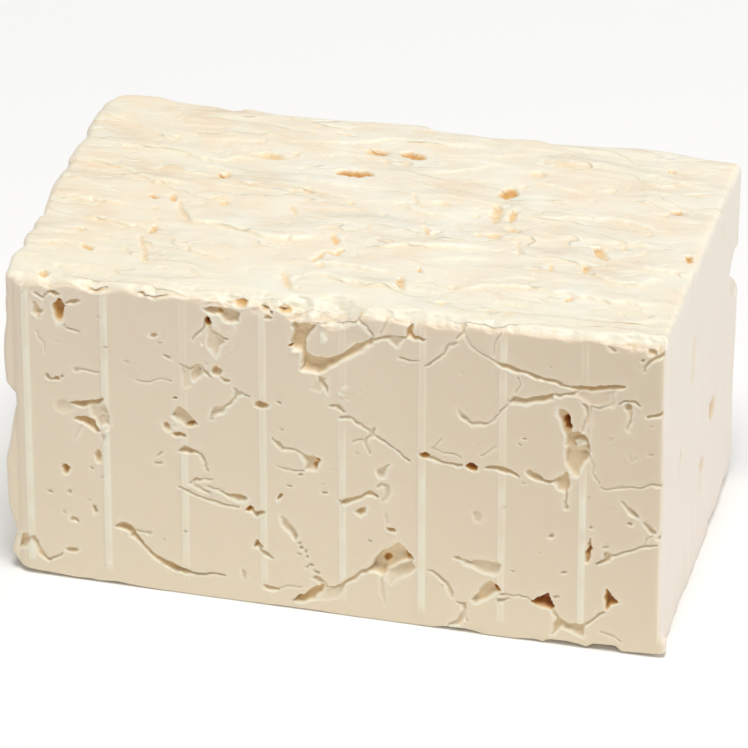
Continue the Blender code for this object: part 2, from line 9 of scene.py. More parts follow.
import bmesh
import bpy
import numpy as np
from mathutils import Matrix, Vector


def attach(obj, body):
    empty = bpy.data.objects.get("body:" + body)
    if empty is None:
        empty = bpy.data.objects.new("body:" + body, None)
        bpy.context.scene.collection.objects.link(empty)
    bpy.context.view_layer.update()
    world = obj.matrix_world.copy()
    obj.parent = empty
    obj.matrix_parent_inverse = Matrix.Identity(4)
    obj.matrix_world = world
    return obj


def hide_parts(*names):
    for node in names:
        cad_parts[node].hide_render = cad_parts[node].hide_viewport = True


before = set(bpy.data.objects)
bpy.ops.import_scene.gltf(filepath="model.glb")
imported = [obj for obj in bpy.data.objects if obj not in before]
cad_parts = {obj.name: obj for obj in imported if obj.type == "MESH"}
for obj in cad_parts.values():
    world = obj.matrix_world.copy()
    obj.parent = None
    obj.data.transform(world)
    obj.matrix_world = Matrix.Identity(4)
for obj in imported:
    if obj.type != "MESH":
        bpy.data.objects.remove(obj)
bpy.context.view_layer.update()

# The pressed block.
# One piece of curd, salted, drained in a slotted mould and pressed under its own weight. It was
# cut from a slab with a wire: the ends and the top are cuts, and the front lay against the mould.

MM = 0.001
LENGTH = 150.0
DEPTH = 84.0
# How far the block reaches below the front's lower lip.
FOOT = 1.2
HEIGHT_FRONT_LEFT = 76.5
HEIGHT_FRONT_RIGHT = 80.3
HEIGHT_BACK_LEFT = 79.8
HEIGHT_BACK_RIGHT = 81.6
# How far the edges are rounded: of the ends and the back, of the top and at the foot.
EDGE_ACROSS = 1.5
EDGE_TOP = 2.4
EDGE_FOOT = 0.6
CORNER_BACK_LEFT = 6.0
CORNER_FRONT_LEFT = 3.4
# The lowest part of the sides, where the edges are still sharp, and where the outlines set in.
SHARP_FOOT = 7.0
PLAIN_FOOT = 5.0
# The mesh's spacing, and how much finer it is on the faces that the photograph shows.
CELL = 1.1
FRONT_CUTS = 3
TOP_CUTS = 2
END_CUTS = 1
BLOCK_TRIANGLES = 190000

# The left end's outline, from the height to how far it stands out, and the back's upper edge.
LEFT_OUTLINE = (
    (-2, 3, 8, 11, 16, 28, 36, 42, 45, 48, 54, 66, 74, 80),
    (1.3, 1.7, 0.4, 0.9, 2.1, 2.1, 0.8, -0.6, -0.5, 1.6, 1.9, 1.1, 0.5, -0.3),
)
BACK_OUTLINE = (
    (-76, -64, -60, -50, -45, -42, -34, -18, -8, 0, 3, 16, 27, 31, 42, 50, 58, 66, 76),
    (1.8, 2.4, 1.2, 0.4, -0.6, 0.8, -0.1, 0.9, 1.9, 2.1, 0.2, 0, 1.2, 0.1, 1, 2.4, 2.4, 0.6, -0.2),
)
# The scallops of the left end's upper edge: where the layers end, from y to how far they stand out.
LEFT_SCALLOPS = (
    (-42, -37, -32, -28.5, -28, -24, -21.4, -21, -18, -15.4, -15, -6, 2, 8.8, 9.3, 12, 18, 21.6, 22, 27,
        34, 34.5, 39),
    (0.4, 1.4, 1.8, 0.8, 0.5, 1.5, 1.1, 0.4, 1.3, 1, 0.4, 1.3, 1.6, 1.1, 0.4, 1.5, 1.7, 1.1, 0.5, 1.6, 1.4,
        0.8, 1.4),
)
# The front's lower edge, from x to its height.
FRONT_FOOT = (
    (-75, -70, -60, -57, -55, -51, -45, -38, -20, -12, -3, 2, 15, 23, 26, 31, 33, 35, 42, 47, 48.6, 50, 54,
        57, 58.8, 60, 65.6, 66.6, 75),
    (0.3, -0.3, -0.8, -0.6, -0.9, -0.5, -1, -1.2, -1.2, -1, -1, -1.2, -1.2, -1.1, -0.5, -0.4, -0.6, -1.2,
        -1.1, -0.6, -1, -0.2, 0, -0.4, -0.8, 0.2, 0.5, -0.8, -0.3),
)


def smooth(low, high, value):
    """Rises gently from 0 at low to 1 at high."""
    share = np.clip((value - low) / (high - low), 0.0, 1.0)
    return share * share * (3.0 - 2.0 * share)


def curdle(u, v, size, seed):
    """Soft random lumps of about this size, from -1 to 1."""
    wrap = 256
    start = 100.0
    lattice = np.random.default_rng(seed).uniform(-1.0, 1.0, (wrap, wrap))
    u = u / size + start
    v = v / size + start
    column = np.floor(u).astype(int)
    row = np.floor(v).astype(int)
    across = smooth(0.0, 1.0, u - column)
    up = smooth(0.0, 1.0, v - row)
    column, next_column, row, next_row = column % wrap, (column + 1) % wrap, row % wrap, (row + 1) % wrap
    near = lattice[column, row] * (1 - across) + lattice[next_column, row] * across
    far = lattice[column, next_row] * (1 - across) + lattice[next_column, next_row] * across
    return near * (1 - up) + far * up


def cut_into(chosen, cuts):
    """In edit mode: cuts the edges or faces that the test chooses into smaller ones."""
    bpy.ops.mesh.select_all(action="DESELECT")
    mesh = bmesh.from_edit_mesh(bpy.context.object.data)
    for item in chosen(mesh):
        item.select_set(True)
    mesh.select_flush_mode()
    bmesh.update_edit_mesh(bpy.context.object.data)
    bpy.ops.mesh.subdivide(number_cuts=cuts)


height = (HEIGHT_FRONT_RIGHT + HEIGHT_BACK_LEFT) / 2 + FOOT
bpy.ops.object.select_all(action="DESELECT")
bpy.ops.mesh.primitive_cube_add(size=1.0)
block = bpy.context.object
block.name = "cheese_block"
block.scale = (LENGTH, DEPTH, height)
bpy.ops.object.transform_apply(location=False, rotation=False, scale=True)
bpy.ops.object.mode_set(mode="EDIT")
bpy.context.tool_settings.mesh_select_mode = (False, True, False)
for axis, span in enumerate((LENGTH, DEPTH, height)):
    cut_into(
        lambda mesh, axis=axis, span=span: [
            edge for edge in mesh.edges if abs((edge.verts[0].co - edge.verts[1].co)[axis]) > span * 0.9
        ],
        round(span / CELL) - 1,
    )
bpy.context.tool_settings.mesh_select_mode = (False, False, True)
for way, cuts in (((0, -1, 0), FRONT_CUTS), ((0, 0, 1), TOP_CUTS), ((1, 0, 0), END_CUTS)):
    cut_into(
        lambda mesh, way=Vector(way): [face for face in mesh.faces if face.normal.dot(way) > 0.9], cuts
    )
bpy.ops.object.mode_set(mode="OBJECT")

spots = np.empty(len(block.data.vertices) * 3)
block.data.vertices.foreach_get("co", spots)
spots = spots.reshape(-1, 3)

# Edges lose their corners as the block is handled: less on the cut ends than round the top.
half = np.array([LENGTH / 2, DEPTH / 2, height / 2])
above_foot = smooth(-height / 2, -height / 2 + SHARP_FOOT, spots[:, 2])
soft_across = EDGE_FOOT + (EDGE_ACROSS - EDGE_FOOT) * above_foot
soft = np.column_stack((soft_across, soft_across, np.where(spots[:, 2] > 0, EDGE_TOP, EDGE_FOOT)))
core = np.clip(spots, soft - half, half - soft)
facing = (spots - core) / soft
facing /= np.linalg.norm(facing, axis=1)[:, None]
spots = core + facing * soft
spots[:, 2] += height / 2 - FOOT

x, y, z = spots[:, 0].copy(), spots[:, 1].copy(), spots[:, 2].copy()
level = (z + FOOT) / height


def top_height(x, y):
    """The height of the top over the lip, before it is torn."""
    along = x / LENGTH + 0.5
    back = y / DEPTH + 0.5
    front = HEIGHT_FRONT_LEFT + (HEIGHT_FRONT_RIGHT - HEIGHT_FRONT_LEFT) * along
    rear = HEIGHT_BACK_LEFT + (HEIGHT_BACK_RIGHT - HEIGHT_BACK_LEFT) * along
    return front + (rear - front) * back


def share_of(axis, sign):
    """How far each spot faces this way, from 0 round an edge to 1 on the face."""
    return smooth(0.25, 0.9, sign * facing[:, axis])


on_front = share_of(1, -1)
on_back = share_of(1, 1)
on_left = share_of(0, -1)
on_right = share_of(0, 1)
on_top = share_of(2, 1)
# The foot lies flat, so the outlines set in above it.
lift = np.clip((z + FOOT) / PLAIN_FOOT, 0.0, 1.0)

z = -FOOT + level * (top_height(x, y) + FOOT)
front_foot = smooth(DEPTH / 2 - 12, DEPTH / 2 - 1, -y) * (1.0 - smooth(0.0, PLAIN_FOOT, z + FOOT))
z = z + front_foot * (np.interp(x, *FRONT_FOOT) + FOOT)
# Only the back's upper edge is broken as its outline shows. Lower down the back is gentler.
upper = 0.2 + 0.8 * smooth(0.6, 0.95, level + 0.2 * curdle(x, z, 14.0, 77))
y = y + lift * smooth(DEPTH / 2 - 9, DEPTH / 2 - 2, y) * np.interp(x, *BACK_OUTLINE) * upper
# Only the edge towards the front is broken as its outline shows. Farther back the end is gentler.
near_left = smooth(LENGTH / 2 - 7, LENGTH / 2 - 1, -x)
forward = 0.15 + 0.85 * smooth(-20, -37, y + 9.0 * curdle(y, z, 13.0, 78))
stands_out = forward * np.interp(z, *LEFT_OUTLINE) + smooth(62, 76, z) * np.interp(y, *LEFT_SCALLOPS)
x = x - lift * near_left * stands_out
# The left end's upright edges are worn round.
for side, radius in ((1, CORNER_BACK_LEFT), (-1, CORNER_FRONT_LEFT)):
    past_x = np.maximum(-LENGTH / 2 + radius - x, 0.0)
    past_y = np.maximum(side * y - DEPTH / 2 + radius, 0.0)
    corner = (past_x > 0) & (past_y > 0)
    reached = np.maximum(np.hypot(past_x, past_y), 1e-6)
    kept = np.where(corner, np.maximum(past_x, past_y) / reached, 1.0)
    x += past_x * (1.0 - kept)
    y -= side * past_y * (1.0 - kept)

# The front.
# Curd that lay against the mould: smooth, with ribs from the mould's slots. Pieces of curd 20 mm
# across never quite closed up, so there are cracks between them, and pockets where flakes broke out.

# How much of the rim is gone along the block.
RIM_LOST = (
    (-76, -66, -61, -57, -52, -47, -42, -36, -30, -24, -18, -12, -9, -4, 2, 5, 7, 10, 16, 19, 22, 28, 30,
        34, 50, 62, 70, 76),
    (2.4, 2.8, 1.6, 2.8, 2.2, 1.5, 2.6, 1.8, 2, 2.8, 2.6, 3.2, 5, 5.8, 5.6, 4.6, 3, 2, 2.6, 3.2, 2.6, 2.8,
        2.8, 2.4, 2.6, 2.8, 3.2, 3.4),
)
RIB_FIRST = -70.9
RIB_PITCH = 18.3
RIB_COUNT = 8
RIB_WIDTH = 1.3
RIB_PROUD = 0.25
# How clear each rib still is low down and high up, from the left.
RIB_LOW = (1.0, 1.0, 0.8, 0.85, 0.95, 1.0, 0.75, 1.0)
RIB_HIGH = (0.95, 0.8, 0.3, 0.7, 0.35, 0.55, 0.65, 0.3)

# Cracks: width, depth, how stained and shaded (painted warm shade), how far it slopes in from above and from
# below, then places (x, z), each with its own share of the width where it isn't 1.
FRONT_CRACKS = [
    # The sweep at the lower left.
    (0.5, 1.4, 0.12, 1.3, 0.2, [(-51, 14.5, 0.3), (-48.6, 14.3, 1.7), (-47.4, 13.6, 1.4), (-46.2, 12.2),
        (-44, 9.8, 0.7), (-41.6, 7.4, 0.7), (-39.6, 6.2, 1.1), (-37, 5, 1.9), (-35.2, 4.8, 1.2),
        (-33, 4.8, 0.4), (-29, 5, 0.4), (-25.4, 5.3, 0.2)]),
    (0.35, 0.5, 0.05, 0.2, 0.6, [(-46.6, 14.3), (-44.4, 14.2), (-42.8, 14, 1.6)]),
    (0.5, 0.8, 0.1, 0.4, 0.5, [(-71, 8.6), (-69.6, 6.4), (-68.4, 3.8), (-67, 2.9), (-65.2, 4.3),
        (-64, 5.7, 0.4)]),
    # Broken curd near the top left corner.
    (0.8, 1, 0.1, 0.2, 0.5, [(-65.4, 73.8, 0.5), (-64.2, 73.9, 1.2), (-62.8, 73.1, 0.5)]),
    (0.4, 0.7, 0.05, 0.2, 0.4, [(-65.6, 73.6), (-66.6, 71.6), (-68.2, 72.6)]),
    (0.7, 0.9, 0.1, 0.3, 0.4, [(-68.7, 70.6, 0.5), (-68.4, 68.8), (-68.2, 67.4, 1.4), (-67, 68.4, 0.5)]),
    (0.6, 0.8, 0.1, 0.2, 0.4, [(-68.2, 67.4), (-67.8, 66.2, 0.4)]),
    (0.5, 0.5, 0.05, 0.2, 0.4, [(-70.6, 74.6), (-70.9, 72.8, 0.4)]),
    (0.6, 0.9, 0.05, 0.1, 0.6, [(-61.4, 71, 0.3), (-60.2, 72), (-59.4, 72.3, 1.5), (-58.4, 72.3, 0.4)]),
    (0.45, 0.6, 0, 0.1, 0.5, [(-61.6, 65, 0.4), (-60, 64.8), (-58, 64.1, 0.4)]),
    (0.3, 0.4, 0, 0.2, 0.4, [(-68.6, 63.2), (-68.2, 61.6), (-66.6, 60.4), (-66.5, 57.8)]),
    (0.35, 0.5, 0, 0.1, 0.4, [(-59.4, 54.1, 1.6), (-58.4, 54.8), (-56, 54.9), (-54, 54.6)]),
    (0.3, 0.4, 0, 0.1, 0.5, [(-45, 53.9), (-42.5, 54), (-40.4, 54.8), (-37, 55)]),
    # Over the loose curd.
    (0.35, 0.7, 0.15, 0.1, 0.3, [(-5.2, 72.4), (-3.6, 73.8), (-1.6, 74.6), (1, 74.8), (3, 74.9),
        (4.6, 75.3), (6, 76.4), (7.8, 74.6), (9.9, 72.4)]),
    # Under the rim, where the top's lip overhangs.
    (0.7, 0.9, 0.2, 0.1, 0.5, [(-58, 75.8, 0.4), (-56.6, 76), (-55.6, 75.2, 0.7), (-54.4, 75.3),
        (-53.2, 75.8, 1.2), (-52.2, 76.2, 0.5)]),
    (0.6, 0.8, 0.2, 0.1, 0.5, [(-44.6, 76, 0.5), (-43.4, 76.1), (-42.4, 75.9, 0.4), (-41.4, 76, 0.8),
        (-40.2, 75.5, 0.7), (-38, 76, 0.6)]),
    (0.5, 0.6, 0.1, 0.1, 0.6, [(-38, 76.4, 0.6), (-35.6, 76.8), (-33.2, 76.7, 0.5)]),
    # Two wedges round the curd beside the second rib.
    (1, 1.7, 0.1, 0.15, 0.8, [(-60.4, 45.5, 0.5), (-58.4, 45.7, 1.2), (-56.6, 46.3, 0.8),
        (-54.8, 46.9, 1.2), (-53.6, 47.3, 0.5)]),
    (1.5, 1.8, 0.15, 0.2, 0.7, [(-59.4, 41.5, 0.5), (-57.4, 41.6), (-56.2, 40.8), (-54.8, 39.3, 0.4)]),
    (0.3, 0.4, 0, 0.2, 0.4, [(-58.4, 40), (-59.2, 37.6), (-60, 36.2)]),
    # The cleft beside the third rib.
    (0.4, 0.8, 0.1, 0.2, 0.4, [(-28.9, 70.6, 1.4), (-30.2, 68.2), (-31.8, 66, 0.4)]),
    (0.5, 0.9, 0.15, 0.1, 0.4, [(-28, 69.5), (-26.6, 67.9), (-25.4, 67.3), (-24.2, 67.5, 0.6)]),
    (0.4, 0.8, 0.1, 0.1, 0.5, [(-35.2, 59.6, 0.5), (-33, 58.6), (-31.2, 59.2), (-30.4, 59.7),
        (-29.6, 58.2), (-28.2, 57.2, 0.6)]),
    (0.6, 0.8, 0.1, 0.2, 0.4, [(-25.2, 57.4, 0.6), (-24.6, 56.5), (-23.5, 56.3, 0.6)]),
    # Broken curd between the third and fourth ribs.
    (0.45, 0.7, 0.05, 0.15, 0.5, [(-22.6, 54.6), (-20.2, 53.7), (-18.4, 53, 0.6)]),
    (0.4, 0.8, 0.05, 0.15, 0.5, [(-22.4, 52.6), (-24, 50.6), (-25.6, 48.9), (-27.6, 46.6), (-27.6, 45.8)]),
    (0.8, 1.1, 0.1, 0.3, 0.5, [(-35, 36.6, 0.5), (-33.8, 37.3, 1.5), (-32.4, 37, 0.6), (-30.2, 36.5, 0.4),
        (-29.3, 32.3, 0.4)]),
    (0.7, 0.9, 0.05, 0.2, 0.4, [(-13.6, 43, 0.4), (-12.6, 41.8), (-11.4, 40.8, 0.5)]),
    # The slat across the third rib.
    (0.35, 0.5, 0.05, 0.1, 0.5, [(-30.6, 30), (-28.4, 30.2)]),
    (0.35, 0.6, 0, 0.1, 0.4, [(-33, 28.4), (-29.2, 27.1)]),
    (0.35, 0.5, 0, 0.1, 0.4, [(-29.5, 28.7), (-25, 27.3)]),
    (0.35, 0.6, 0, 0.1, 0.5, [(-35.9, 27.2, 1.8), (-34.6, 26.9), (-30, 25.3), (-27.5, 24.7, 1.3),
        (-22.2, 23.9)]),
    (0.9, 1.2, 0.1, 0.2, 0.5, [(-18.8, 23.2, 0.6), (-17.6, 22.5), (-16.6, 23.1, 0.8), (-15.5, 23.5, 0.4)]),
    (0.6, 0.8, 0.05, 0.2, 0.5, [(-16.8, 13.8), (-15.4, 12.8), (-14, 12.1, 0.4)]),
    (0.5, 0.6, 0.05, 0.2, 0.4, [(-21.4, 7.2), (-20.6, 6.6), (-20, 5.5, 0.4)]),
    (0.7, 1, 0.15, 0.1, 0.5, [(-16.2, 3.9, 0.4), (-14.4, 3.6), (-12.8, 3.6, 0.6)]),
    (0.3, 0.4, 0, 0.1, 0.4, [(-13, 4.1), (-10, 4.8), (-7.6, 5.2)]),
    # The long crack from the foot to the hollow at the middle.
    (0.4, 1.1, 0.08, 0.08, 0.8, [(-2.6, 6.1), (0, 5.8), (2, 7), (5, 9.2), (7.4, 11.6), (9, 13)]),
    (0.4, 0.6, 0, 0.3, 0.4, [(11.4, 10.2), (11.7, 7), (12.3, 3, 0.4)]),
    (0.4, 0.6, 0, 0.1, 0.4, [(-6.6, 40), (-8.4, 41), (-11.6, 40.6)]),
    (0.35, 0.5, 0, 0.3, 0.3, [(-13.2, 36.4, 0.5), (-9.6, 35.4), (-6.8, 35.8)]),
    # The crack under the loose curd goes on to the right, up to the top edge.
    (0.5, 0.9, 0.1, 0.1, 0.5, [(10.2, 71.9), (12.6, 72.6), (16.4, 73.4)]),
    (0.4, 0.5, 0, 0.2, 0.3, [(11.6, 73.6), (12.2, 76), (13, 78.6)]),
    (0.4, 0.6, 0, 0.1, 0.5, [(15.4, 68.2), (17.4, 67.8), (19.4, 68, 0.5)]),
    (0.45, 0.7, 0, 0.1, 0.5, [(20.8, 67.3, 0.5), (22.4, 67.4), (24.4, 69), (25.6, 71), (27, 73),
        (28.2, 73.3, 0.4)]),
    (0.5, 0.7, 0.1, 0.2, 0.3, [(28.4, 74.4, 0.4), (29.6, 76.2), (29.8, 78.2, 1.4)]),
    (0.3, 0.5, 0, 0.1, 0.5, [(29.8, 76.6), (30.2, 75), (32, 73), (33.6, 71.8), (35.6, 70.6),
        (37.4, 69.6)]),
    (0.3, 0.5, 0, 0.3, 0.3, [(36.4, 71.4), (36.8, 74), (38.8, 79)]),
    (0.7, 1.1, 0.1, 0.2, 0.3, [(6.6, 79.2), (6.2, 77.6), (5.8, 76.2, 0.6)]),
    # The crack under the middle curd.
    (0.7, 0.8, 0, 0.1, 0.6, [(-0.6, 53.7, 0.5), (1.2, 53.8), (2.4, 52.2, 0.6)]),
    (0.4, 0.7, 0, 0.1, 0.6, [(1.8, 50.6), (3, 50.9), (4.8, 51), (7.4, 49.1), (9, 48), (12, 46.2),
        (14, 44.8, 0.5)]),
    (0.4, 0.6, 0, 0.1, 0.5, [(14.6, 44.4), (17.4, 42.4)]),
    (0.5, 0.7, 0, 0.3, 0.4, [(9.4, 48.6, 1.6), (8.4, 46.4), (7.6, 45, 0.7), (8.3, 42.7, 0.8)]),
    (0.3, 0.5, 0, 0.1, 0.4, [(8, 46), (5, 45)]),
    (0.5, 0.9, 0.1, 0.1, 0.8, [(1.6, 29.4, 0.5), (2.6, 29.4, 1.8), (4.4, 30), (6.4, 30.7), (8.2, 31.5),
        (9, 32.2, 1.6), (9.9, 31.4, 0.8)]),
    (0.8, 0.5, 0, 0.3, 0.4, [(10.6, 34.2, 0.6), (11.6, 35.1), (12.8, 34.6), (13.1, 32.8), (12.4, 31.2),
        (11.6, 30.7, 0.5)]),
    (0.4, 0.5, 0, 0.2, 0.4, [(12.2, 27.4), (13, 25)]),
    # Round the curd between the sixth and seventh ribs.
    (0.4, 0.6, 0, 0.1, 0.6, [(28.6, 56.6, 0.5), (30.2, 55.4, 2.6), (31.8, 54, 1.2), (34.4, 54),
        (35.6, 54.6, 0.8), (38.2, 57, 0.7), (39.6, 59.6, 0.6), (40, 60.8)]),
    (0.3, 0.4, 0, 0.1, 0.3, [(25, 48.8), (22.8, 46.2), (25, 45.7), (28, 45), (29.6, 44.3)]),
    (0.45, 0.8, 0.1, 0.1, 0.7, [(22, 43.8), (25, 43), (29.6, 42.3)]),
    (0.3, 0.4, 0, 0.1, 0.4, [(34, 45.6), (36, 46.6), (37.4, 48.4)]),
    (0.7, 1.1, 0.15, 0.1, 1, [(35.2, 42.8, 0.5), (37.6, 43.3), (39.6, 43.2), (41, 42.6),
        (42.4, 41.7, 0.4)]),
    (1.2, 1.3, 0.05, 0.1, 0.9, [(45, 42.9, 0.8), (47, 42.2), (49, 41.6, 0.7), (50.4, 41.7, 0.5)]),
    (0.5, 0.9, 0.1, 0.4, 0.4, [(53.5, 38.8), (53.4, 35)]),
    # Round the long curd at the upper right.
    (0.45, 0.9, 0.1, 0.1, 0.6, [(37, 69.9, 0.6), (39.4, 69.2, 1.6), (43, 68.3), (45.2, 68, 1.5),
        (47, 67.6), (50, 67.1, 1.4), (52.4, 66.5, 0.6), (54.4, 66.5, 0.6)]),
    (0.9, 1.4, 0.15, 0.1, 0.9, [(54.4, 66.5, 0.5), (57, 66.3, 0.8), (60, 66.9), (63, 67.5, 0.8),
        (66, 68.3, 0.3)]),
    (0.35, 0.5, 0, 0.2, 0.3, [(42.4, 66.8), (42.6, 65.4), (41.4, 62.8)]),
    (0.4, 0.8, 0.05, 0.1, 0.6, [(49.6, 63.2), (52, 64), (54.6, 64.8), (56.6, 66, 0.5)]),
    (0.3, 0.5, 0, 0.3, 0.3, [(64, 66.6), (63.8, 64), (63.3, 62.5, 1.6), (60.4, 61.6), (58.4, 61.8),
        (58.3, 58), (58.4, 53.6)]),
    (0.4, 0.7, 0.05, 0.3, 0.3, [(56.8, 62.2, 1.4), (57.6, 60.8), (58, 58), (57.4, 55.6)]),
    (0.3, 0.5, 0, 0.2, 0.4, [(59, 48.4), (59.6, 46), (60.2, 43.8), (61, 41.8), (62.4, 41.4), (66, 42.2),
        (70, 43), (73, 43.7, 1.6), (75.4, 43.9, 2.2)]),
    # Right of the eighth rib.
    (0.5, 0.7, 0.05, 0.1, 0.4, [(65, 63.5, 0.6), (66.4, 64.2), (68.6, 64.2), (69.6, 63.4, 0.6)]),
    (0.6, 0.7, 0, 0.4, 0.4, [(67.5, 61.4), (67.5, 59, 0.8), (67.2, 56.6, 0.5)]),
    (0.6, 0.9, 0.15, 0.1, 0.5, [(71.4, 61.2, 0.4), (73.4, 61.5), (75.4, 62.6, 1.2)]),
    (0.5, 0.8, 0.1, 0.2, 0.4, [(70.4, 72.4, 0.5), (71.4, 74.6), (72.6, 75.8), (75, 77.2, 1.4)]),
    (0.3, 0.3, 0, 0.2, 0.3, [(67.2, 50.6), (68.2, 48.8), (69.4, 50.4)]),
    (0.6, 0.8, 0, 0.2, 0.4, [(66.2, 38.8, 0.4), (67.6, 37.2, 0.8), (68.8, 35.9, 1.6), (69.8, 35, 0.5)]),
    (0.7, 0.9, 0, 0.2, 0.4, [(71, 34, 0.4), (72.6, 32.6), (73.6, 31.9, 0.8)]),
    (0.3, 0.5, 0, 0.2, 0.4, [(73.8, 31.6), (72.2, 30), (71.6, 28.8)]),
    (0.4, 0.7, 0, 0.1, 0.5, [(74, 28.4, 0.5), (71.8, 28.2, 1.4), (70, 27), (68, 25.9), (65, 24.7),
        (63.2, 23.8, 1.6)]),
    (0.7, 1.1, 0.1, 0.1, 0.5, [(60.8, 21.5, 0.6), (62, 22.1), (63.2, 23.4)]),
    (0.7, 1.6, 0.2, 0.3, 0.3, [(58.8, 27.6, 0.4), (58.6, 25), (58.3, 21.6, 0.8)]),
    (0.3, 0.5, 0, 0.1, 0.4, [(38.6, 10.2), (41.6, 10.6), (45, 10), (46.6, 9.6)]),
    (0.8, 0.6, 0, 0.2, 0.4, [(38.8, 8.6), (40.8, 9.6, 0.4)]),
    (0.5, 0.8, 0.1, 0.1, 0.5, [(50.4, 7.6), (51.8, 6.1)]),
    (0.4, 0.8, 0.1, 0.4, 0.3, [(58.2, 4.9), (60, 6.6), (62.4, 9.4)]),
    (0.4, 0.4, 0, 0.3, 0.4, [(62.4, 3.6), (65, 3), (66.6, 1.8)]),
    (0.7, 0.9, 0, 0.2, 0.4, [(29, 6.6, 0.5), (30.4, 6.3), (30.6, 4, 0.6), (31.2, 1.8, 0.4)]),
    (0.7, 0.7, 0, 0.4, 0.4, [(22.2, 14, 0.4), (24.4, 13.2), (26.2, 11.4), (27.4, 9.2), (27.9, 7.8, 0.4)]),
]
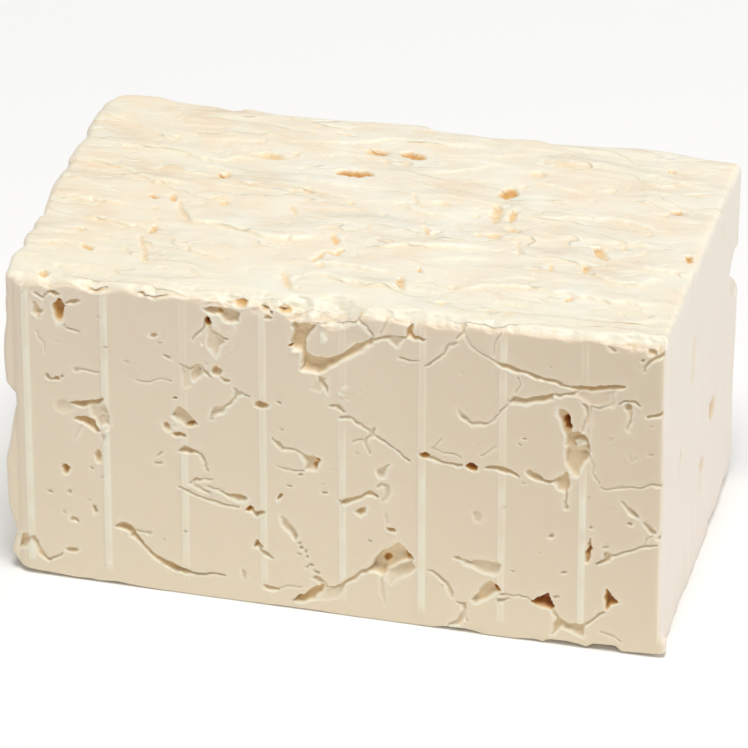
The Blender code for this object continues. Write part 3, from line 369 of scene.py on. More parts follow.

# Gas holes and pits: place (x, z), width, height, turn in degrees, depth and how stained and shaded (painted
# warm shade), if it is.
FRONT_PITS = [
    (-63, 69.2, 1.8, 5.4, -3, 2, 0.45), (-62.9, 70.9, 1.3, 1.3, 0, 2.6, 0.9),
    (-62.5, 44.6, 3.7, 3.4, 0, 0.5), (-63.8, 51.4, 1.5, 1.1, 0, 1.4, 0.2),
    (-65, 51.3, 2, 0.8, -10, 0.9, 0.1), (-66, 52, 0.8, 1.6, 20, 1, 0.1), (-62.4, 52, 0.7, 0.6, 0, 0.6),
    (-62.2, 27.9, 1.6, 2.2, 0, 1.5, 0.35), (-61.6, 22.2, 1.2, 1.4, 20, 0.5),
    (-61, 14.9, 2, 0.9, -30, 0.9, 0.05), (-61.7, 6.8, 2.7, 1.4, 10, 0.9, 0.1),
    (-63.2, 16.6, 0.9, 1.2, 0, 0.4), (-66.2, 21.3, 1.1, 0.9, 30, 0.6), (-55.8, 18.5, 0.8, 1.9, 0, 1, 0.15),
    (-54.4, 32.6, 1.4, 2.4, 0, 1.1, 0.2), (-56.4, 29.4, 1.2, 1, 0, 0.4), (-53.4, 37.6, 0.8, 2.2, 0, 0.5),
    (-41, 66.1, 1.8, 1, 20, 0.8, 0.1), (-38, 60.7, 1.4, 0.8, -15, 0.7),
    (-40.4, 32.6, 1.8, 1.1, 0, 0.7, 0.05), (-40, 35.2, 1.6, 0.7, 20, 0.5, 0.05),
    (-36.2, 50, 0.9, 0.9, 0, 1.1, 0.35), (-33, 43.9, 2.4, 0.9, 22, 2, 0.25),
    (-38.4, 42.4, 1.6, 2.6, 10, 1.1, 0.15), (-35.6, 40.5, 2.8, 1.1, 0, 1.4, 0.2),
    (-26.6, 58.8, 2.7, 2.4, -10, 1.5, 0.15), (-28.5, 71, 1.3, 2.3, 0, 2.8, 1.2),
    (-26, 73.6, 1.6, 1, 0, 1.9, 0.3), (-21, 76.9, 3.2, 1.9, 0, 1.6, 0.3),
    (-15.4, 76.3, 1.9, 2, 20, 1.4, 0.25), (-11, 76.6, 2.4, 1.5, 0, 1.7, 0.35),
    (-14.6, 73.9, 1.6, 0.8, 10, 0.9, 0.2), (-13.8, 75.4, 0.9, 1.4, 0, 0.9, 0.2),
    (-16, 51.5, 3, 2.1, 0, 1.5, 0.15), (-12.3, 52.5, 1.4, 0.9, -10, 0.6, 0.05),
    (-12.3, 28.2, 0.9, 2.1, -28, 1.3, 0.3), (-9.7, 31.2, 1.3, 0.7, 0, 0.6), (-7.2, 34.6, 0.9, 0.7, 0, 0.6),
    (-1.9, 30.6, 1.1, 0.6, 0, 0.8, 0.1), (-19.3, 23.8, 1.7, 1.1, -15, 1.8, 0.5),
    (-7.6, 16.5, 0.7, 1, 0, 0.8), (-7.1, 15.2, 0.6, 1, 10, 0.8), (-7.8, 13.4, 0.9, 0.8, 0, 0.7),
    (-6.1, 14.4, 0.5, 1.2, 10, 0.7), (-5.6, 12.9, 0.6, 0.9, 0, 0.8), (-5, 11, 1.3, 0.8, 0, 0.8),
    (-6, 10.4, 0.8, 0.8, 0, 0.7), (-3.9, 9.4, 1.5, 0.7, -10, 0.8), (8.5, 19.3, 0.8, 0.7, 0, 0.6),
    (-9.5, 67.9, 0.9, 0.8, 20, 2.4, 1), (13.6, 23.5, 1.9, 1.2, -35, 1.1, 0.3),
    (21.3, 44.1, 1.9, 1.4, 10, 1.7, 0.6), (31.8, 42.4, 2.1, 1.8, 0, 2, 0.8),
    (33.5, 29.9, 2.2, 2.2, 0, 0.5), (43.8, 51.1, 1, 0.5, 0, 0.7), (43.7, 40.2, 0.8, 0.6, 0, 0.6, 0.1),
    (41.7, 16.8, 0.8, 0.7, 0, 0.6), (28.9, 18.1, 1.4, 0.9, 0, 0.9, 0.1), (51.7, 11.3, 1.3, 0.8, 10, 0.6),
    (52.9, 17.8, 1.2, 0.7, 35, 0.6, 0.05), (50.3, 27.3, 0.9, 1.3, -20, 0.8), (59.1, 30.8, 0.8, 1, 0, 0.6),
    (62.6, 26, 1.8, 0.9, 20, 0.4), (62.8, 23.9, 2.2, 1.8, 30, 0.9, 0.05),
    (58.5, 24.6, 0.8, 2, 0, 2.2, 0.8), (68.3, 33, 1, 1, 0, 0.8), (67.2, 62.5, 1.8, 1.9, 0, 1.2, 0.05),
    (75.3, 30.2, 2, 1.5, 0, 1.2, 0.2), (63.1, 77, 1.8, 0.7, -15, 0.7, 0.05),
    (70.1, 74.9, 0.8, 0.8, 0, 0.6, 0.1), (71.9, 77, 1.6, 1.8, 0, 0.9, 0.2),
    (53.4, 56.4, 0.9, 3.6, 6, 3.2, 1.3), (37.8, 11.8, 1.4, 1.7, 20, 2.2, 0.9),
    (12.3, 14.7, 2, 1.2, 35, 2.7, 0.6), (-3.5, 38.8, 0.9, 1.3, -20, 2, 0.7),
    (-4.2, 37.4, 1, 1.6, -30, 1.5, 0.3), (17.4, 17, 1.4, 1.8, 40, 1.9, 0.3),
    (53.2, 34.9, 0.7, 0.8, 0, 0.7, 0.1), (-14.2, 3.6, 1.6, 0.7, 0, 1.1, 0.2),
]

# Pockets where a flake broke out: depth, how much deeper towards the top and the right, how stained and
# shaded (painted warm shade), and the corners (x, z).
FRONT_POCKETS = [
    # At the lower left corner.
    (1.2, 0, 0, 0.1, [(-73.2, 9), (-72.2, 9.6), (-71.6, 7.6), (-72.6, 5.4), (-74.6, 4.4), (-73.9, 6.6)]),
    # Round the curd beside the second rib.
    (0.7, -0.05, 0, 0, [(-56.4, 45.6), (-53, 46.2), (-51.8, 43.6), (-52.2, 41), (-54.2, 40.2),
        (-55.6, 42.4)]),
    # The cleft beside the third rib, and the funnel under it.
    (1.5, 0.05, -0.05, 0.05, [(-29.4, 74.2), (-26.5, 75), (-21.4, 74.6), (-21.5, 72), (-23.6, 71.2),
        (-25.6, 72.7), (-27.6, 73)]),
    (0.7, 0.06, 0.12, 0, [(-28.6, 69.4), (-27.2, 68.6), (-25.2, 67.2), (-24.6, 66.4), (-25.8, 64.4),
        (-26.8, 62.2), (-28, 64.4)]),
    (1, 0.06, 0.3, 0.05, [(-32.6, 58.8), (-30.6, 59.7), (-30.3, 57.6), (-31.4, 55.1), (-32.6, 55.8)]),
    (0.4, 0.04, 0.05, 0, [(-35, 59), (-33, 58.4), (-32, 56), (-32.8, 54), (-34.4, 53.8)]),
    # Between the third and fourth ribs.
    (0.8, 0.1, 0, 0, [(-22.8, 54.7), (-20.6, 53.8), (-22.4, 52)]),
    (0.9, 0, 0, 0, [(-24.4, 49.8), (-25.2, 48), (-27.8, 46.6), (-27.4, 48.8)]),
    (1.2, 0.1, 0.05, 0.05, [(-36.8, 45.6), (-35.7, 47.9), (-34.6, 48), (-31.3, 44.4), (-33.6, 43.2),
        (-34.8, 44.2), (-36.2, 44.6)]),
    # The tongue beside the fourth rib.
    (1.1, 0.05, 0.25, 0.1, [(-7.4, 40), (-3.4, 39.6), (-2.9, 38.6), (-4.2, 36.5), (-6.4, 36.2), (-6, 38)]),
    # The slat across the third rib.
    (0.9, 0.1, 0, 0.1, [(-33.6, 28.5), (-31.4, 30.1), (-30.2, 29.8), (-32.2, 28.6)]),
    (1.2, 0.1, 0.18, 0.15, [(-26.8, 27.3), (-23.4, 27.1), (-20.6, 26.7), (-19.9, 26), (-20.8, 25.1),
        (-22.4, 25.4), (-24.6, 26.3)]),
    (1.5, 0, 0, 0.25, [(-17.2, 16.3), (-16.4, 14.8), (-17.2, 13.7), (-18.1, 13.6), (-18.1, 14.7)]),
    # The spindle, and what runs down from it.
    (0.9, 0, 0.05, 0, [(-11.9, 22.7), (-10.6, 22.5), (-9.2, 20.6), (-8.3, 18.6), (-8.5, 17.2),
        (-9.8, 18.6), (-11.6, 20.8)]),
    (0.8, 0, 0, 0.1, [(-4.3, 8.6), (-3, 8.2), (-1.3, 6.7), (-1.3, 5.9), (-3, 6.5), (-4.5, 7.4)]),
    (1.7, 0.1, -0.1, 0.15, [(-9.6, 1), (-7.8, 2.8), (-5.4, 4.2), (-4.2, 5.4), (-2.4, 6.1), (-3, 4),
        (-5, 2.2), (-7.4, 1)]),
    # The hollow at the end of the long crack.
    (1.9, -0.06, -0.06, 0.05, [(8.6, 12.2), (10.2, 15), (12, 17.8), (14, 19.1), (15.1, 20.7), (16.2, 19.5),
        (17.8, 18), (18.8, 16.2), (17, 15.8), (14.6, 14.2), (12.8, 12.8), (11.8, 10.3), (10.6, 11.5)]),
    (0.55, 0.28, 0, 0, [(12, 10.6), (13, 12.8), (18.6, 16), (18.9, 14), (16, 11), (13.4, 9)]),
    (0.45, 0.25, -0.05, 0, [(-2.4, 6), (0.5, 5.6), (2.5, 6.8), (1.2, 3.6), (-2.4, 2.2), (-4.8, 2.2)]),
    # Round the loose curd under the top edge.
    (1.7, -0.04, -0.02, 0.1, [(-8.8, 74), (-8.6, 71.4), (-9.5, 68.6), (-8.6, 67.2), (-7, 66.4),
        (-6.5, 64.6), (-7, 61.7), (-3, 61.3), (0.2, 63.6), (5, 67.1), (10.4, 71.8), (6, 73.2), (0, 72.8),
        (-5, 73.6)]),
    (0.8, 0.1, 0, 0.1, [(-2.8, 60.7), (-1.6, 60.2), (-1.3, 56.2), (-2.3, 58)]),
    (0.35, 0, 0.08, 0, [(-5.2, 57), (-3, 59.6), (-2.2, 57.8), (-3.4, 56.4)]),
    (0.7, 0.05, 0, 0, [(11, 72.9), (16.6, 73.7), (15.2, 71.4), (14.7, 70.4), (12.6, 72.1)]),
    (1.3, 0, 0, 0.3, [(16.5, 73.4), (16.9, 75.6), (18.5, 77.2), (17.9, 75), (18.7, 73.9), (20.8, 73.7),
        (20.5, 73.1), (18, 72.9)]),
    # The middle of the face.
    (1.2, 0, 0, 0.25, [(5.4, 27.2), (7.9, 28.5), (7.7, 26.6), (7, 25.9)]),
    (0.8, 0, 0, 0, [(10.3, 38.4), (11.6, 39.4), (13.4, 40.1), (12.5, 38.4), (12.3, 37), (11, 36.5)]),
    # Between the sixth and seventh ribs, near the foot.
    (1.3, 0, 0.12, 0.08, [(32.2, 7.7), (33.6, 9.4), (35, 11.8), (36.6, 13.1), (38, 12.7), (38.7, 11.4),
        (37.4, 10.2), (36, 8.8), (34.6, 7.4), (33, 7)]),
    (0.8, 0.08, 0.02, 0, [(29.4, 18.2), (31.6, 17.5), (33.4, 18.7), (36.8, 18.7), (38.8, 17.6), (38.3, 16),
        (37.2, 15), (35.2, 15.2), (33, 16.2), (30.6, 16.9)]),
    (0.7, 0.05, 0, 0, [(30.3, 4.6), (30.6, 2.4), (29.2, 0.4), (26.6, 0)]),
    # Under the long curd.
    (1.1, 0.2, 0, 0.1, [(40.2, 60.2), (40.9, 61.5), (44.4, 61.7), (49.6, 63.3), (50.1, 62.4), (47.6, 61.3),
        (44, 60.3)]),
    (0.35, 0, -0.03, 0, [(55.6, 65.4), (63.6, 66.4), (63.4, 62.8), (58.6, 62.4), (55, 64.4)]),
    # The tall cleft, in three steps.
    (1.5, 0, 0.6, 0.15, [(51.2, 60.5), (52.6, 60.5), (53.9, 58.4), (54.1, 56), (53.8, 54.2), (53, 53.8),
        (52.2, 57), (51.4, 58.6)]),
    (1.5, 0.25, 0, 0.1, [(53.2, 54.6), (57.8, 54.9), (58.2, 53.2), (58.9, 50.2), (57.6, 50.1),
        (54.6, 49.9), (53, 51.4)]),
    (1.4, 0.1, 0.12, 0.05, [(53.6, 50.4), (58.2, 50.2), (58.8, 49), (57.8, 47.2), (55.6, 43.3),
        (54.6, 43.4), (53.4, 46.6)]),
    (1, 0.1, 0.1, 0.15, [(50.4, 41.9), (53.6, 43.8), (54.3, 41.6), (53.7, 38.7), (51.6, 40)]),
    # Two holes with three corners: the curds that met there had flat sides.
    (2.2, 0.2, 0.25, 1.2, [(46, 9.4), (49.5, 12.2), (50.1, 10.6), (50.9, 8.6), (50.1, 7.7)]),
    (1.9, 0.05, -0.1, 0.75, [(62.9, 15.1), (66.1, 12.4), (63.2, 10.2)]),
    # The hollow under the sagging crack at the lower right.
    (0.9, 0.12, 0, 0.08, [(51.4, 6.3), (54, 5.3), (58.2, 4.9), (57.6, 1.8), (56, 2.6), (53, 3.8),
        (51.6, 1.8), (50.6, 1.6), (51.3, 4)]),
]

# Pieces of curd that stand on the floor of a pocket: how far under the face, and outline (x, z).
FRONT_CURDS = [
    (0.15, [(-6.3, 66.4), (-6.4, 68.8), (-5.2, 71.6), (-3.4, 73.6), (-0.6, 74.7), (2.8, 74.6), (4.4, 75),
        (6, 76.1), (9.6, 72.3), (7.2, 70.2), (4, 68.4), (1.2, 66), (-1.4, 64.8), (-4.4, 64.9)]),
    (0.5, [(54.6, 52.6), (56, 53), (57.6, 52.6), (57.8, 51.2), (55.8, 50.6)]),
    (0.3, [(-37.2, 43.6), (-36, 44), (-34.8, 42.8), (-35.4, 41.6), (-36.8, 41.8)]),
    (0.2, [(-28.2, 72.4), (-25.9, 71.6), (-25, 72.2), (-22.2, 71), (-22.6, 68.6), (-24.6, 68.2),
        (-27, 69.8)]),
]

# Crumbs that stuck to the face: place (x, z), width, height and how far each stands out.
FRONT_CRUMBS = [
    (2.6, 58.6, 2.2, 1.8, 0.35), (1.8, 57, 1.4, 1.8, 0.3), (3.6, 55.4, 0.9, 0.8, 0.4),
    (3, 57, 1.2, 1.2, 0.3), (6, 57, 1.3, 0.6, 0.18), (7.2, 58.6, 1.4, 0.5, 0.16),
    (5.6, 59.4, 1.4, 0.5, 0.16), (7.6, 56.2, 0.9, 0.5, 0.14), (6.6, 51.4, 0.6, 0.8, 0.2),
    (16.4, 65.9, 0.7, 0.9, 0.25), (-29.8, 64.6, 1.4, 1.8, 0.3), (-22.8, 65.8, 1, 1.2, 0.15),
    (-24.4, 63.6, 0.8, 0.8, 0.12), (-8.6, 66, 2.6, 1.1, 0.4), (-24, 74.6, 1, 0.7, 0.7),
    (-52.4, 39.2, 1.4, 1.2, 0.4), (-53.4, 43.8, 2.6, 0.9, 0.35), (-52.6, 4.4, 2.2, 1.4, 0.2),
    (-13, 66, 0.6, 0.6, 0.12), (30.8, 58, 0.6, 0.9, 0.12), (57, 51.8, 1.6, 1.2, 0.3),
    (-1.8, 70.4, 1.9, 3.6, 0.45), (32.2, 52.8, 2.6, 1, 0.15), (-68.6, 43, 0.7, 0.7, 0.1),
]

# Crumbly stretches: middle (x, z), half sizes and how rough.
FRONT_CRUMBLE = [
    (-3, 77, 8.5, 3, 0.8), (-17, 75.6, 6, 2.2, 0.5), (-26, 76.2, 5, 1.6, 0.4), (-7.6, 71, 1.8, 4, 0.3),
    (-56, 76.4, 5, 1.4, 0.4), (-41, 76.8, 5, 1.2, 0.35), (-66.5, 70.5, 3.4, 5, 0.25),
    (-37, 42.4, 3, 3, 0.35), (-24, 64.4, 3.4, 3.6, 0.15), (-6.4, 13, 2, 4.4, 0.15),
    (-54.4, 42.8, 2.6, 3.4, 0.35), (2.8, 57.4, 2.4, 3, 0.25), (31.5, 53.4, 3.2, 1.8, 0.15),
    (9, 77.8, 3.6, 2, 0.3), (72, 76.6, 3, 2.4, 0.3),
]
FRONT_NICKS = 70

# How far curd's broken lines bend, widely and finely.
BEND = 0.42
FINE_BEND = 0.26
# The depths at which a stained hollow and the film of painted shade in any hollow are at their darkest, and
# how dark that film is. Both are painted warm shade, ochre to brown, darker the deeper a hollow lies.
STAIN_SHADE_DEPTH = 1.6
FILM_SHADE_DEPTH = 0.9
FILM_SHADE = 0.075
# How much of a crack's width is open, how much of its slopes is left, and the width under which
# it is a hair crack.
CRACK_OPEN = 0.42
CRACK_SLOPE = 0.62
HAIR_WIDTH = 0.6
# How much painted highlight a face gets beside a crack, a pit and a pocket, as a pale glow, and how far its
# edges stand up.
CRACK_HALO = 0.2
PIT_HALO = 0.16
POCKET_HALO = 0.2
CRACK_EDGE = 0.14
HOLE_EDGE = 0.10


def reach(u, v, points):
    """Each spot's distance from the line through the points, the line's share of the width there,
    the spot's side of the line, and how far it lies above the line rather than beside it, from -1
    to 1."""
    best = np.full(u.shape, 1e9)
    share = np.ones(u.shape)
    side = np.zeros(u.shape)
    over = np.zeros(u.shape)
    for start, end in zip(points, points[1:]):
        run_u, run_v = end[0] - start[0], end[1] - start[1]
        span = math.hypot(run_u, run_v)
        place = np.clip(((u - start[0]) * run_u + (v - start[1]) * run_v) / span**2, 0.0, 1.0)
        off_u, off_v = u - start[0] - place * run_u, v - start[1] - place * run_v
        away = np.hypot(off_u, off_v)
        closer = away < best
        best = np.where(closer, away, best)
        first = start[2] if len(start) > 2 else 1.0
        last = end[2] if len(end) > 2 else 1.0
        share = np.where(closer, first + (last - first) * place, share)
        side = np.where(closer, (off_v * run_u - off_u * run_v) / span, side)
        over = np.where(closer, off_v / np.maximum(away, 1e-6), over)
    return best, share, side, over


def inside(u, v, corners):
    """How far inside the outline each spot is, and how far it is over the nearest side."""
    away, _, _, over = reach(u, v, list(corners) + [corners[0]])
    within = np.zeros(u.shape, bool)
    for (u0, v0), (u1, v1) in zip(corners, corners[1:] + corners[:1]):
        if v0 != v1:
            crossed = (v0 > v) != (v1 > v)
            within ^= crossed & (u < (u1 - u0) * (v - v0) / (v1 - v0) + u0)
    return np.where(within, away, -away), over


def nearby(u, v, places, margin):
    """The spots near these places, so that each small feature is worked out only there."""
    across = [place[0] for place in places]
    up = [place[1] for place in places]
    found = (u > min(across) - margin) & (u < max(across) + margin)
    return np.nonzero(found & (v > min(up) - margin) & (v < max(up) + margin))[0]


def bell(value, width):
    """1 where the value is 0, falling away on both sides over about this width."""
    return np.exp(-((value / width) ** 2))


def underside(over):
    """From 0 above a feature to 1 under it, where light from above falls on its slope."""
    return 0.5 - 0.5 * np.clip(over, -1.0, 1.0)


class Relief:
    """What a face's features do to it: how deep each spot lies, how much stain and painted shade it has, and
    how much painted highlight.
    """

    def __init__(self, u, v, seed, raised=1.0, shade_weight=1.0):
        self.raised = raised
        self.shade_weight = shade_weight
        # Curd breaks along ragged lines, so a feature's straight lines are bent a little.
        self.u = u + BEND * curdle(u, v, 2.6, seed) + FINE_BEND * curdle(u, v, 1.1, seed + 1)
        self.v = v + BEND * curdle(u, v, 2.6, seed + 2) + FINE_BEND * curdle(u, v, 1.1, seed + 3)
        self.rough = 0.5 * curdle(u, v, 1.3, seed + 4) + 0.5 * curdle(u, v, 0.6, seed + 5)
        # Besides depth, each spot keeps its stain with painted shade, and its painted highlight.
        self.depth, self.level, self.stain, self.rise, self.painted_highlight = np.zeros((5, *u.shape))

    def sink(self, spots, depth, stain):
        """Lowers the spots to at least this depth, and paints warm shade into them, ochre to brown, darker
        the deeper they lie.
        """
        self.depth[spots] = np.maximum(self.depth[spots], depth)
        film_shade = FILM_SHADE * self.shade_weight * np.clip(depth / FILM_SHADE_DEPTH, 0.0, 1.0)
        hollow_shade = stain * np.clip(depth / STAIN_SHADE_DEPTH, 0.0, 1.0) + film_shade
        self.stain[spots] = np.maximum(self.stain[spots], hollow_shade)

    def paint_highlight(self, spots, share):
        """Paints a highlight on the spots, at least this pale."""
        self.painted_highlight[spots] = np.maximum(self.painted_highlight[spots], share)

    def edge(self, spots, rim, halo):
        """Paints a highlight along a broken edge's rim, and a little on the face round it."""
        self.paint_highlight(spots, (rim + halo * (1.0 - rim)) * (0.4 + 0.6 * self.raised))

    def crack(self, width, depth, stain, above, below, points):
        spots = nearby(self.u, self.v, points, 4.0)
        away, share, _, over = reach(self.u[spots], self.v[spots], points)
        under = underside(over)
        half = np.maximum(CRACK_OPEN * width * share, 0.06)
        # A hair crack has steep sides and isn't deep.
        open_share = min(1.0, width / HAIR_WIDTH)
        depth *= 0.45 + 0.55 * open_share
        slope = CRACK_SLOPE * (above * (1.0 - under) + below * under)
        lip = half + slope * np.clip(share, 0.3, 1.4) * open_share
        wall = 1.0 - np.clip((away - 0.4 * half) / (lip + 0.12 - 0.4 * half), 0.0, 1.0) ** 2
        self.sink(spots, depth * np.sqrt(share) * wall, stain)
        # Painted highlight along the crack's lips, most on the lower one, where light from above falls, and
        # a pale glow round it.
        rim = bell(away - lip - 0.2, 0.28) * (0.4 + 0.6 * under) * min(1.0, 1.6 * depth) * np.sqrt(share)
        self.level[spots] -= CRACK_EDGE * self.raised * rim * under
        self.edge(spots, rim, CRACK_HALO * bell(away - lip, 1.3) * min(1.0, depth))

    def pit(self, u, v, width, height, turn, depth, stain=0.0):
        spots = nearby(self.u, self.v, [(u, v)], max(width, height))
        angle = math.radians(turn)
        off_u, off_v = self.u[spots] - u, self.v[spots] - v
        across = (off_u * math.cos(angle) + off_v * math.sin(angle)) / (width / 2)
        up = (off_v * math.cos(angle) - off_u * math.sin(angle)) / (height / 2)
        away = np.maximum(np.hypot(across, up), 1e-6)
        under = underside(up / away)
        inner = 0.62 - 0.5 * under
        bowl = 1.0 - np.clip((away - inner) / (1.08 + 0.22 * under - inner), 0.0, 1.0) ** 2
        self.sink(spots, depth * bowl * (1.0 + 0.12 * self.rough[spots]), stain)
        # Painted highlight round the rim, most on the lower side, where light from above falls, and a pale
        # glow round it.
        rim = bell((away - 1.15 - 0.2 * under) * min(width, height), 0.6) * (0.3 + 0.7 * under)
        rim *= min(1.0, depth)
        self.level[spots] -= HOLE_EDGE * self.raised * rim * under
        self.edge(spots, rim, PIT_HALO * (1.0 - smooth(1.0, 1.9, away)) * min(1.0, depth))

    def pocket(self, depth, upward, rightward, stain, corners):
        spots = nearby(self.u, self.v, corners, 2.0)
        within, over = inside(self.u[spots], self.v[spots], corners)
        middle_u = sum(corner[0] for corner in corners) / len(corners)
        middle_v = sum(corner[1] for corner in corners) / len(corners)
        floor = depth + rightward * (self.u[spots] - middle_u) + upward * (self.v[spots] - middle_v)
        floor = np.maximum(floor, 0.1) * (1.0 + 0.16 * self.rough[spots])
        # The lower side slopes in, and the upper one drops.
        slope = np.clip(over * np.sign(within), 0.0, 1.0)
        outer = -0.1 - 0.2 * slope
        share = np.clip((within - outer) / (0.3 + (0.5 + 0.5 * depth) * slope - outer), 0.0, 1.0)
        self.sink(spots, floor * (1.0 - (1.0 - share) ** 2), stain)
        outside = np.clip(-over * np.sign(within), -1.0, 1.0)
        # Painted highlight round the rim and on the sloping lower side, and a pale glow on the face round
        # it.
        rim = bell(within + 0.3, 0.3) * (0.6 - 0.4 * outside) * min(1.0, 1.4 * depth)
        self.level[spots] -= HOLE_EDGE * rim
        rim += bell(within + 0.1, 0.35) * 0.6 * slope * min(1.0, depth)
        rim += POCKET_HALO * bell(within, 1.2) * (within < 0) * min(1.0, depth)
        self.paint_highlight(spots, np.clip(rim, 0.0, 1.0))

    def lip(self, rise, back, points):
        ends = [(*points[0][:2], 0.1), *points[1:-1], (*points[-1][:2], 0.1)]
        spots = nearby(self.u, self.v, points, back)
        away, share, side, _ = reach(self.u[spots], self.v[spots], ends)
        height = rise * share * smooth(-0.45, 0.30, side) * (1.0 - smooth(0.0, back, away))
        self.rise[spots] = np.maximum(self.rise[spots], height)
        # Painted shade at the foot of the lip, and a painted highlight along its crest.
        foot = share * smooth(-0.2, 0.3, -side) * np.exp(-away / 0.8)
        self.level[spots] += 0.35 * rise * foot
        self.stain[spots] = np.maximum(self.stain[spots], 0.16 * rise * foot)
        painted_highlight = share * smooth(-0.5, 0.1, side) * (1.0 - smooth(0.2, 0.8 + 1.2 * rise, away))
        self.paint_highlight(spots, painted_highlight * min(1.0, rise / 0.4))

    def crumble(self, u, v, half_u, half_v, rough):
        spots = nearby(self.u, self.v, [(u, v)], max(half_u, half_v))
        here_u, here_v = self.u[spots], self.v[spots]
        away = np.hypot((here_u - u) / half_u, (here_v - v) / half_v)
        share = (1.0 - smooth(0.3, 1.0, away + 0.3 * curdle(here_u, here_v, 3.0, 8))) * rough
        grains = np.abs(curdle(here_u, here_v, 1.9, 5) + 0.5 * curdle(here_u, here_v, 0.9, 6))
        self.level[spots] += share * (1.0 - np.sqrt(grains)) * 1.2
        # Painted shade between the grains, and a painted highlight on them.
        self.stain[spots] += 0.08 * self.shade_weight * share * (1.0 - smooth(0.0, 0.25, grains))
        self.paint_highlight(spots, 1.2 * share * smooth(0.1, 0.5, grains))

    def curd(self, under_face, corners):
        spots = nearby(self.u, self.v, corners, 1.0)
        within, _ = inside(self.u[spots], self.v[spots], corners)
        share = smooth(-0.15, 0.3, within)
        surface = under_face + 0.35 * (1.0 - smooth(0.0, 1.1, within))
        floor = self.depth[spots]
        self.depth[spots] = np.minimum(floor, floor * (1.0 - share) + surface * share)
        self.stain[spots] *= 1.0 - share
        self.painted_highlight[spots] *= 1.0 - share
        # Painted highlight round the piece's rim.
        self.paint_highlight(spots, bell(within - 0.3, 0.45))

    def crumb(self, u, v, width, height, proud):
        spots = nearby(self.u, self.v, [(u, v)], max(width, height))
        away = np.hypot((self.u[spots] - u) / (width / 2), (self.v[spots] - v) / (height / 2))
        lump = 1.0 - smooth(0.1, 1.1, away + 0.25 * self.rough[spots])
        self.level[spots] -= proud * lump
        # Painted highlight on the lump.
        self.paint_highlight(spots, smooth(0.0, 0.6, lump) * min(1.0, 2.5 * proud))


def each(make, table):
    """Makes every feature of the table."""
    for feature in table:
        make(*feature)


front = Relief(x, z, 11)
each(front.crack, FRONT_CRACKS)
each(front.pit, FRONT_PITS)
each(front.pocket, FRONT_POCKETS)
each(front.curd, FRONT_CURDS)
each(front.crumble, FRONT_CRUMBLE)
each(front.crumb, FRONT_CRUMBS)
# Small nicks lie all over the face.
chance = np.random.default_rng(12)
for _ in range(FRONT_NICKS):
    nick_x, nick_z = chance.uniform(-72, 73), chance.uniform(2, 74)
    wide, tall = chance.uniform(0.4, 1.3), chance.uniform(0.35, 0.6)
    front.pit(nick_x, nick_z, wide, tall, chance.normal(0, 25), chance.uniform(0.15, 0.35))

# The ribs end short of the foot and of the rim, and are lost where the curd broke out.
rib_number = np.clip(np.round((x - RIB_FIRST) / RIB_PITCH), 0, RIB_COUNT - 1)
rib_offset = x - RIB_FIRST - RIB_PITCH * rib_number
rib_clear = smooth(1.5, 4.0, z) * (1.0 - smooth(1.5, 3.0, z - top_height(x, y) + 5.0))
rib_clear *= 1.0 - smooth(0.1, 0.4, front.depth)
rib_number = rib_number.astype(int)
rib_high = smooth(36, 52, z)
rib_clear *= np.array(RIB_LOW)[rib_number] * (1.0 - rib_high) + np.array(RIB_HIGH)[rib_number] * rib_high
rib_clear *= 0.97 + 0.3 * curdle(x * 0.1, z, 4.0, 32)
rib = rib_clear * (1.0 - smooth(RIB_WIDTH / 2 - 0.15, RIB_WIDTH / 2 + 0.2, np.abs(rib_offset)))

swell = 0.10 * curdle(x, z, 17.0, 33) + 0.05 * curdle(x, z, 6.0, 34) + 0.012 * curdle(x, z, 1.4, 35)
swell += 0.02 * curdle(x * 0.25, z, 1.1, 36) * smooth(0.0, 0.5, curdle(x, z, 20.0, 37))
front_depth = front.depth + front.level + swell - RIB_PROUD * rib
y = y + on_front * front_depth
# The rim over the front has crumbled away to a slope, most of all over the loose curd.
lost = np.interp(x, *RIM_LOST) * (0.85 + 0.25 * curdle(x, 0.0 * x, 2.4, 38))
slope_lumps = 0.5 * np.abs(curdle(x, z - y, 1.9, 39)) + 0.3 * np.abs(curdle(x, z - y, 0.9, 40))
past = -y - DEPTH / 2 + z - top_height(x, y) + lost
cut_back = np.clip(past, 0.0, None) * (-facing[:, 1] > -0.1) * (facing[:, 2] > -0.1)
rim = smooth(0.0, 0.5, cut_back)
# Painted shade in the low places between the lumps of the crumbled slope.
hollow_shade = rim * (1.0 - smooth(0.0, 0.25, slope_lumps)) * np.clip(lost / 3.0, 0.15, 1.0)
cut_back = cut_back + rim * (0.3 - 1.2 * slope_lumps) * np.clip(lost / 3.0, 0.2, 1.0)
y, z = y + cut_back / 2, z - cut_back / 2
front.stain += 0.16 * hollow_shade
# The face is painted a little yellower low down and to the right. Low down this is painted light, warm light
# thrown up from the floor.
front.stain += 0.012 + 0.016 * (1.0 - z / 80.0) + 0.008 * smooth(-40, 40, x)

# The top.
# The wire tore it into thin layers of curd that run along the block. Each layer ends in a low,
# soft lip towards the front, and gas holes show as ochre pits.

